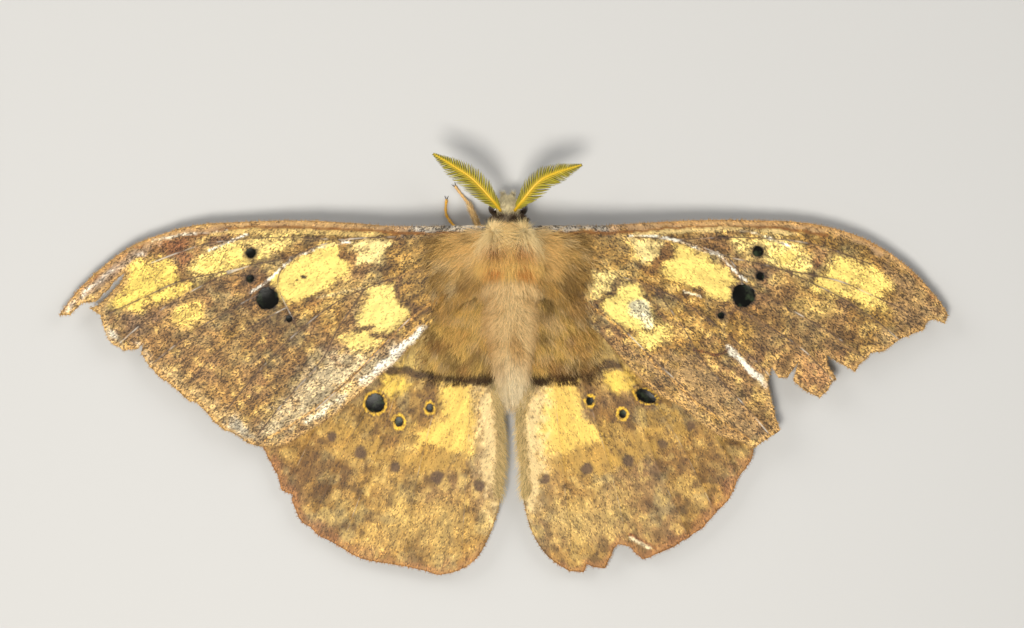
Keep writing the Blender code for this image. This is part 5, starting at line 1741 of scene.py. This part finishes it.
@dataclass(frozen=True)
class Leg:
    """One leg: where it leaves the thorax, then its joints to the toe."""

    name: str
    y: float
    angle: float
    joints: Path
    tarsus: str = "#cda468"

    def build(self, body: Body, cuticle: bpy.types.Material, claw: bpy.types.Material,
              wool: bpy.types.Material) -> None:
        """Makes the limb, its two claws and its hair.

        Args:
            body: The trunk that it leaves.
            cuticle: The limb's finish.
            claw: The claws' finish.
            wool: The hair's finish.
        """
        hip = body.place(np.array([self.y]), np.radians([self.angle]))[0]
        centre = np.array([axis_x(self.y), self.y, 5.3])
        knots = np.vstack([hip * 0.6 + centre * 0.4, hip, np.array(self.joints)])
        knee, ankle, toe = knots[2], knots[3], knots[5]
        limb = np.vstack(
            [
                np.linspace(knots[0], hip, 5)[:-1],
                spline(np.array([hip, hip * 0.35 + knee * 0.65 + (0, 0, 0.25), knee]), 0.15)[:-1],
                spline(np.array([knee, (knee + ankle) / 2 + (0, 0, 0.08), ankle]), 0.15)[:-1],
                spline(np.array([ankle, knots[4], toe]), 0.08),
            ]
        )
        run = run_along(limb)
        at_knee, at_ankle = (
            run[np.argmin(np.linalg.norm(limb - joint, axis=1))] for joint in (knee, ankle)
        )
        stops = (0, at_knee * 0.5, at_knee - 0.3, at_knee, at_knee + 0.4, at_ankle - 0.5, at_ankle,
                 at_ankle + 0.2, run[-1])
        radii = np.interp(run, stops, (0.6, 0.55, 0.42, 0.36, 0.4, 0.32, 0.22, 0.19, 0.15))
        beyond = run > at_ankle
        share = (run - at_ankle) / max(run[-1] - at_ankle, 1e-6)
        radii[beyond] *= 1 + 0.16 * np.cos(share[beyond] * 2 * math.pi * 5 + math.pi)
        sides = 14
        points, faces = tapered(limb[None], radii[None, :-1], np.array([UP]), sides)
        points[..., 2] = np.maximum(points[..., 2], 0.0)
        piece = mesh_object(self.name + "_limb", points.reshape(-1, 3), faces, cuticle)
        foot = smooth(run, at_ankle - 0.3, at_ankle + 0.3)
        colours = blend(plain("#c9a367", len(limb)), self.tarsus, foot)
        paint(piece, np.vstack([np.repeat(colours[:-1], sides, axis=0), colours[-1:]]))
        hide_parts(self.name)
        self.finish(piece)
        self.finish(self.claws(limb, claw))
        self.finish(self.hair(limb, run, radii, at_ankle).build(self.name + "_hair", wool))

    def claws(self, limb: Array, material: bpy.types.Material) -> bpy.types.Object:
        """Makes the two hooked claws at the end of the foot."""
        length, parts, corners = 0.55, 5, 8
        ahead = unit(limb[-1] - limb[-6])
        flank = np.cross(ahead, UP)
        steps = np.linspace(0, 1, parts + 1)[:, None]
        hook = np.array(UP) * (0.12 * np.sin(steps * math.pi) - 0.08 * steps**2)
        tips = []
        for hand in (1, -1):
            start = limb[-2] + hand * 0.06 * flank
            path = start + unit(ahead + hand * 0.45 * flank) * length * steps + hook
            path[:, 2] = np.maximum(path[:, 2], 0.04)
            tips.append(path)
        width = np.tile(np.linspace(0.07, 0.025, parts), (2, 1))
        points, faces = tapered(np.stack(tips), width, np.tile(UP, (2, 1)), corners)
        points[..., 2] = np.maximum(points[..., 2], 0.0)
        return mesh_object(self.name + "_claws", points.reshape(-1, 3), faces, material)

    def hair(self, limb: Array, run: Array, radii: Array, at_ankle: float) -> Hair:
        """The hair of thigh and shin, which thins to scales on the foot."""
        rng = np.random.default_rng(int(self.y * 10) + int(self.angle))
        on_leg = rng.uniform(0.5, at_ankle, 620)
        on_foot = rng.uniform(at_ankle, run[-1] - 0.1, 260)
        spots = np.concatenate([on_leg, on_foot])
        place = at_run(spots, run, limb)
        ahead = unit(at_run(spots + 0.05, run, limb) - place)
        turn = rng.uniform(0, 2 * math.pi, len(spots))[:, None]
        normals = round_limb(ahead, turn)
        roots = place + normals * np.interp(spots, run, radii)[:, None] * 0.95
        share = rng.uniform(0, 1, len(spots))
        tones = blend(plain("#ecd6a6", len(spots)), self.tarsus, share)
        places = limb_places(spots, run[-1], turn)
        keep = (roots[:, 2] > 0.12) | (spots < at_ankle)
        reach = np.where(spots[keep] < at_ankle, 1.0, 0.4)
        style = HairStyle(0.8, 0.06, (24.0, 8.0), spread=0.14, sink=0.05)
        return Hair(roots[keep], normals[keep], ahead[keep], tones[keep], places[keep], style, 5,
                    reach=reach)

    @staticmethod
    def finish(piece: bpy.types.Object) -> None:
        """Makes a piece ride with the body."""
        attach(piece, "root")


LEGS = (
    Leg("leg_front_left", 16.4, 235, ((-3.3, 17.9, 2.3), (-4.5, 20.8, 0.95), (-5.5, 22.1, 0.2),
        (-6.4, 23.3, 0.2))),
    Leg("leg_front_right", 16.0, 305, ((5.6, 16.6, 2.4), (7.6, 15.2, 0.95), (9.0, 15.5, 0.2),
        (10.6, 15.9, 0.2))),
    Leg("leg_mid_left", 13.6, 230, ((-5.8, 14.4, 2.6), (-6.2, 17.6, 0.95), (-7.5, 19.5, 0.2),
        (-7.5, 21.6, 0.2)), "#cf9a2e"),
    Leg("leg_mid_right", 13.2, 310, ((7.3, 12.6, 2.6), (10.0, 10.8, 0.95), (11.6, 11.0, 0.2),
        (13.4, 11.4, 0.2))),
    Leg("leg_hind_left", 10.6, 232, ((-5.6, 8.0, 2.2), (-6.8, 1.6, 0.95), (-7.6, -1.4, 0.2),
        (-8.4, -4.6, 0.2))),
    Leg("leg_hind_right", 10.4, 308, ((7.0, 8.0, 2.2), (8.6, 1.4, 0.95), (9.5, -1.4, 0.2),
        (10.4, -4.6, 0.2))),
)

FEELERS = (
    Feeler(Side.LEFT, ((-0.25, 19.7, 5.0), (-1.4, 21.1, 6.9), (-3.85, 23.7, 7.8), (-6.24, 25.35, 7.8),
        (-8.9, 27.0, 7.3))),
    Feeler(Side.RIGHT, ((1.35, 19.7, 5.0), (2.4, 21.0, 6.9), (4.37, 23.3, 7.8), (6.36, 24.45, 7.8),
        (9.95, 25.6, 7.3))),
)


@dataclass(frozen=True)
class Head:
    """The eyes and the palps."""

    eye_out: float = 1.62
    eye_y: float = 20.15
    eye_z: float = 3.7
    eye_radius: float = 0.94
    palp_tufts: int = 320

    def build(self, eye: bpy.types.Material, wool: bpy.types.Material) -> None:
        """Makes both eyes and both palps."""
        for side in Side:
            name = side.name.lower()
            piece = self.build_eye("eye_" + name + "_facets", side, eye)
            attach(piece, "root")
            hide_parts("eye_" + name)
            self.build_palp(side, wool)

    def build_eye(self, name: str, side: Side, material: bpy.types.Material) -> bpy.types.Object:
        """Makes one round eye."""
        around, rows = 48, 24
        turn, tilt = np.meshgrid(
            np.linspace(0, 2 * math.pi, around, endpoint=False), np.linspace(0.06, math.pi - 0.06, rows)
        )
        ball = [np.sin(tilt) * np.cos(turn), np.sin(tilt) * np.sin(turn), np.cos(tilt)]
        points = np.vstack([np.stack(ball, axis=2).reshape(-1, 3), [[0, 0, 1.0]], [[0, 0, -1.0]]])
        centre = (axis_x(self.eye_y) + side.value * self.eye_out, self.eye_y, self.eye_z)
        return mesh_object(name, points * self.eye_radius + centre, tube_faces(rows, around), material)

    def build_palp(self, side: Side, wool: bpy.types.Material) -> None:
        """Makes one hairy palp in front of the mouth."""
        knots = np.array(((0.5, 21.3, 2.7), (0.62, 21.9, 2.6), (0.68, 22.4, 2.8)))
        knots[:, 0] = axis_x(knots[:, 1]) + side.value * knots[:, 0]
        start = knots[:1] - (0.0, 0.9, -0.3)
        path = spline(np.vstack([start, knots]), 0.12)
        radii = np.interp(np.linspace(0, 1, len(path)), (0, 0.5, 0.8, 1), (0.24, 0.3, 0.24, 0.1))
        points, faces = tapered(path[None], radii[None, :-1], np.array([UP]), 12)
        name = side.name.lower()
        piece = mesh_object("palp_" + name + "_core", points.reshape(-1, 3), faces, wool)
        paint(piece, plain("#d9c8a0", points.shape[1]))
        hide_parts("palp_" + name)
        rng = np.random.default_rng(41 + side.value)
        count = self.palp_tufts
        index = rng.integers(0, len(path) - 2, count)
        ahead = unit(path[index + 1] - path[index])
        turn = rng.uniform(0, 2 * math.pi, count)[:, None]
        normals = round_limb(ahead, turn)
        roots = path[index] + normals * radii[index, None]
        share = rng.uniform(0, 1, count)
        tones = blend(plain("#fff8e2", count), "#e0cfa4", share)
        places = limb_places(index, len(path), turn)
        style = HairStyle(0.6, 0.05, (30.0, 12.0), sink=0.04)
        tufts = Hair(roots, normals, ahead, tones, places, style, 43)
        hair = tufts.build("palp_" + name + "_hair", wool)
        for part in (piece, hair):
            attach(part, "root")


# Hair on the wings


def mottled(tones: Array, plan: Array, colour: str, size: float, seed: int, span: tuple[float, float],
            share: float) -> Array:
    """Tones with blotches of another colour, of a size in millimetres, where noise is in a span."""
    return blend(tones, colour, smooth(layered_noise(plan, size, seed), *span) * share)


def wing_root_hair(wing: Wing, side: Side, fore: bool) -> Hair:
    """The long hair over a wing's root, combed outwards and back.

    Args:
        wing: The wing it grows from.
        side: Which side that is.
        fore: True for a forewing.

    Returns:
        The field of hair.
    """
    rng = np.random.default_rng(wing.seed + 40)
    tufts = 9000
    if fore:
        out = 2.6 + rng.beta(1.0, 2.0, tufts) * 8.0
        y = rng.uniform(5.5, 17.3, tufts)
        keep = y < 16.4 + 0.6 * rng.uniform(size=tufts) + 0.7 * smooth(-out, -5, -4)
    else:
        out = 2.2 + rng.beta(1.1, 1.5, tufts) * 11.0
        y = rng.uniform(-2.7, 9.6, tufts)
        keep = y < 10.6 - out * 0.42
        keep &= rng.uniform(size=tufts) < smooth(-out, -13.4, -8.5)
    out, y = out[keep], y[keep]
    plan = np.stack([axis_x(y) + side.value * out, y], axis=1)
    clear = ~wing.hidden(plan)
    plan, out, y = plan[clear], out[clear], y[clear]
    if fore:
        lies = np.stack([np.full_like(y, side.value * 1.0), (y - 16.8) * 0.26 - 0.1], axis=1)
        style = HairStyle(2.2, 0.065, (24.0, 8.0, -2.0), spread=0.17, sink=0.05, root_shade=0.62,
                          vary=0.32)
        found = wing.hair(plan, unit(lies), style, "#e2b56c", 0.0, wing.seed + 41)
        near = smooth(-out, -9.0, -3.5) * smooth(y, 10.0, 13.5) * smooth(-y, -17.6, -16.8)
        tones = blend(found.tones * 1.2, linear("#ffd68a") * 1.1, near * 0.85)
        tones = mottled(tones, plan, "#8a6a3c", 1.6, 31, (0.5, 0.68), 0.6)
        found.tones = mottled(tones, plan, "#e9cf9a", 1.3, 32, (0.56, 0.72), 0.5)
        found.reach = 0.75 + 0.25 * smooth(y, 9.0, 13.0)
        return found
    lies = np.stack([side.value * (0.25 + out * 0.03), np.full_like(y, -1.0)], axis=1)
    style = HairStyle(2.0, 0.065, (22.0, 8.0, -2.0), spread=0.2, sink=0.05, root_shade=0.62, vary=0.34)
    found = wing.hair(plan, unit(lies), style, "#ad8a4c", 0.0, wing.seed + 41)
    found.reach = np.clip((y + 3.4) / 4.0, 0.25, 1.0) * (0.45 + 0.55 * smooth(-out, -12.5, -8.0))
    tones = mottled(found.tones * 1.95, plan, "#6f5534", 1.7, 33, (0.48, 0.64), 0.7)
    tones = mottled(tones, plan, "#e0c290", 1.2, 34, (0.53, 0.68), 0.6)
    tones = mottled(tones, plan, "#a8713c", 1.9, 35, (0.55, 0.7), 0.4)
    band = smooth(-y + (value_noise(plan, 0.8, 4) - 0.5), 0.2, 1.2)
    found.tones = blend(tones, "#3a2712", band * 0.9)
    return found


def shoulder_hair(wing: Wing, side: Side) -> Hair:
    """The long hair that hangs from a forewing's inner edge over the hindwing's root."""
    rng = np.random.default_rng(wing.seed + 80)
    tufts = 1500
    share = rng.uniform(0, 1, tufts)[:, None]
    start, end = np.array([2.8, 11.7]), np.array([8.9, 6.6])
    plan = start + (end - start) * share + rng.uniform(-0.3, 1.2, (tufts, 1)) * (0.3, 0.7)
    plan[:, 0] = axis_x(plan[:, 1]) + side.value * plan[:, 0]
    plan = plan[~wing.hidden(plan)]
    lies = np.tile([side.value * 0.45, -1.0], (len(plan), 1))
    style = HairStyle(2.2, 0.065, (24.0, 2.0, -14.0), spread=0.2, sink=0.05, root_shade=0.7, vary=0.32)
    found = wing.hair(plan, unit(lies), style, "#b08c50", 0.5, wing.seed + 81)
    found.tones = found.tones * 1.35
    return found


def inner_fringe(wing: Wing, side: Side) -> Hair:
    """The soft hair along a hindwing's inner edge."""
    rng = np.random.default_rng(wing.seed + 60)
    tufts = 1500
    y = rng.uniform(-17.0, -2.0, tufts)
    near = wing.edge[np.abs(wing.edge[:, 0] - axis_x(wing.edge[:, 1])) < 4.5]
    near = near[near[:, 1] < 6]
    near = near[np.argsort(near[:, 1])]
    x = np.interp(y, near[:, 1], near[:, 0]) + side.value * rng.beta(1.0, 2.5, tufts) * 1.5
    plan = np.stack([x, y], axis=1)
    plan = plan[~wing.hidden(plan)]
    lies = np.tile([-side.value * 0.55, -1.0], (len(plan), 1))
    style = HairStyle(1.5, 0.06, (14.0, 4.0), spread=0.2, sink=0.05, root_shade=0.75)
    return wing.hair(plan, unit(lies), style, "#f0d696", 0.6, wing.seed + 61)


# Setting


def look_at(placed: bpy.types.Object, place: tuple, target: tuple) -> None:
    """Puts an object at a place, in millimetres, and turns its -Z axis to a target."""
    placed.location = Vector(place) * MM
    aim = Vector(target) - Vector(place)
    placed.rotation_euler = aim.to_track_quat("-Z", "Y").to_euler()


@dataclass(frozen=True)
class Lamp:
    """A soft square lamp aimed at the moth: its place and width in millimetres, and its power."""

    name: str
    place: tuple[float, float, float]
    width: float
    watts: float
    colour: str

    def build(self) -> None:
        """Adds the lamp to the scene."""
        lamp = bpy.data.lights.new(self.name, "AREA")
        lamp.size = self.width * MM
        lamp.energy = self.watts
        lamp.color = linear(self.colour)
        placed = bpy.data.objects.new(self.name, lamp)
        bpy.context.scene.collection.objects.link(placed)
        look_at(placed, self.place, (0, 4, 2))


@dataclass(frozen=True)
class Studio:
    """A pale floor, soft lights and a camera that looks straight down as the photograph does."""

    camera_place: tuple[float, float, float] = (1.1, 6.5, 317.0)
    lens: float = 85.0
    floor: str = "#b9b9b9"
    floor_reach: float = 3000.0
    surroundings: str = "#f4f4f4"
    surroundings_strength: float = 0.24
    lamps: tuple[Lamp, ...] = (
        Lamp("key", (-50, -125, 350), 120, 1.48, "#fffaf0"),
        Lamp("fill", (260, 180, 260), 260, 0.6, "#fbfaf6"),
        Lamp("rim", (-280, 200, 200), 240, 0.72, "#fffdf8"),
    )

    def build(self) -> None:
        """Makes the floor, the lights and the camera."""
        scene = bpy.context.scene
        material, _, shader = new_material("floor")
        shader.inputs["Base Color"].default_value = (*linear(self.floor), 1.0)
        shader.inputs["Roughness"].default_value = 0.8
        far = self.floor_reach
        corners = np.array([(-far, -far, 0), (far, -far, 0), (far, far, 0), (-far, far, 0)])
        mesh_object("floor", corners, np.array([[0, 1, 2, 3]]), material)
        camera = bpy.data.objects.new("camera", bpy.data.cameras.new("camera"))
        camera.data.lens = self.lens
        camera.data.sensor_width = 36.0
        camera.data.clip_start = 0.01
        camera.location = Vector(self.camera_place) * MM
        scene.collection.objects.link(camera)
        scene.camera = camera
        for lamp in self.lamps:
            lamp.build()
        world = bpy.data.worlds.new("studio")
        world.use_nodes = True
        background = world.node_tree.nodes["Background"]
        background.inputs["Color"].default_value = (*linear(self.surroundings), 1.0)
        background.inputs["Strength"].default_value = self.surroundings_strength
        scene.world = world
        scene.view_settings.view_transform = "Standard"


@dataclass
class Moth:
    """The whole animal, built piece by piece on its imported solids."""

    body: Body = field(default_factory=Body)

    def build(self) -> None:
        """Makes every piece, hides the solids that they stand for and makes them ride with the body."""
        wool = Wool("coat_wool").build()
        scales = WingScales().build()
        # The membranes' finish, with the shade seen through them painted dark into its colours.
        clear = MEMBRANE_IN_PAINTED_SHADE.build()
        skin = self.body.build_skin(Wool("under_coat", roughness=0.8, sheen=0.1).build())
        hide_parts("head", "collar", "thorax", "abdomen")
        self.finish(skin, "thorax_wool")
        self.coats(wool)
        for side, fore, wing in (
            (Side.LEFT, True, forewing_left()),
            (Side.RIGHT, True, forewing_right()),
            (Side.LEFT, False, hindwing_left()),
            (Side.RIGHT, False, hindwing_right()),
        ):
            slot = "forewing_scales" if fore else "hindwing_scales"
            made = wing.build(scales)
            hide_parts(wing.name)
            self.finish(made, slot)
            self.finish(wing.build_windows(clear), slot)
            self.finish(wing_root_hair(wing, side, fore).build(wing.name + "_root_hair", wool), slot)
            cilia = HairStyle(0.42, 0.1, (3.0, -2.0), spread=0.2, sink=0.0, root_shade=0.9)
            self.finish(wing.fringe(cilia, 11.0).build(wing.name + "_fringe", wool), slot)
            if fore:
                self.finish(shoulder_hair(wing, side).build(wing.name + "_shoulder_hair", wool), slot)
            else:
                self.finish(inner_fringe(wing, side).build(wing.name + "_inner_hair", wool), slot)
            LOG.info("%s done", wing.name)
        cuticle = Wool("leg_scales", roughness=0.5, sheen=0.1).build()
        claw = CLAW.build()
        for leg in LEGS:
            leg.build(self.body, cuticle, claw, wool)
        midrib = MIDRIB.build()
        branch = Wool("feeler_branches", roughness=0.5, sheen=0.1).build()
        for feeler in FEELERS:
            feeler.build(midrib, branch)
        Head().build(EYE.build(), wool)

    def coats(self, wool: bpy.types.Material) -> None:
        """Covers the body in hair, one piece for each region."""
        thorax = HairStyle(2.4, 0.065, root_shade=0.84, vary=0.34)
        abdomen = HairStyle(1.9, 0.065, (34.0, 16.0, 2.0), vary=0.3)
        thorax_flank = HairStyle(3.0, 0.065, (50.0, 26.0, 4.0), root_shade=0.75, vary=0.3)
        abdomen_flank = HairStyle(2.5, 0.06, (52.0, 30.0, 6.0))
        collar = HairStyle(0.85, 0.07, (62.0, 50.0))
        head = HairStyle(0.8, 0.09, (30.0, 8.0), root_shade=1.0, vary=0.12)
        regions = (
            ("thorax_coat", "thorax_wool", (10.2, 18.1), (-70, 250), 11500, thorax),
            ("abdomen_coat", "abdomen_wool", (-5.3, 10.5), (-90, 270), 12000, abdomen),
            ("thorax_flanks", "thorax_wool", (10.6, 17.6), (0, 52), 5200, thorax_flank),
            ("abdomen_flanks", "abdomen_wool", (-4.6, 10.2), (-12, 52), 8000, abdomen_flank),
            ("collar_coat", "collar_wool", (18.0, 19.0), (-90, 270), 4200, collar),
            ("head_coat", "collar_wool", (18.9, 21.5), (-90, 270), 6500, head),
        )
        for seed, (name, slot, y_range, angles, count, style) in enumerate(regions, 70):
            hair = self.body.coat(y_range, angles, count, style, seed, name.endswith("flanks"))
            self.finish(hair.build(name, wool), slot)

    @staticmethod
    def finish(piece: bpy.types.Object, slot: str) -> None:
        """Makes a piece ride with the body."""
        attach(piece, "root")


def main() -> None:
    """Loads the solids, dresses the moth and sets the studio round it."""
    logging.basicConfig(level=logging.INFO, format="%(message)s")
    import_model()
    Moth().build()
    Studio().build()


if __name__ == "__main__":
    main()
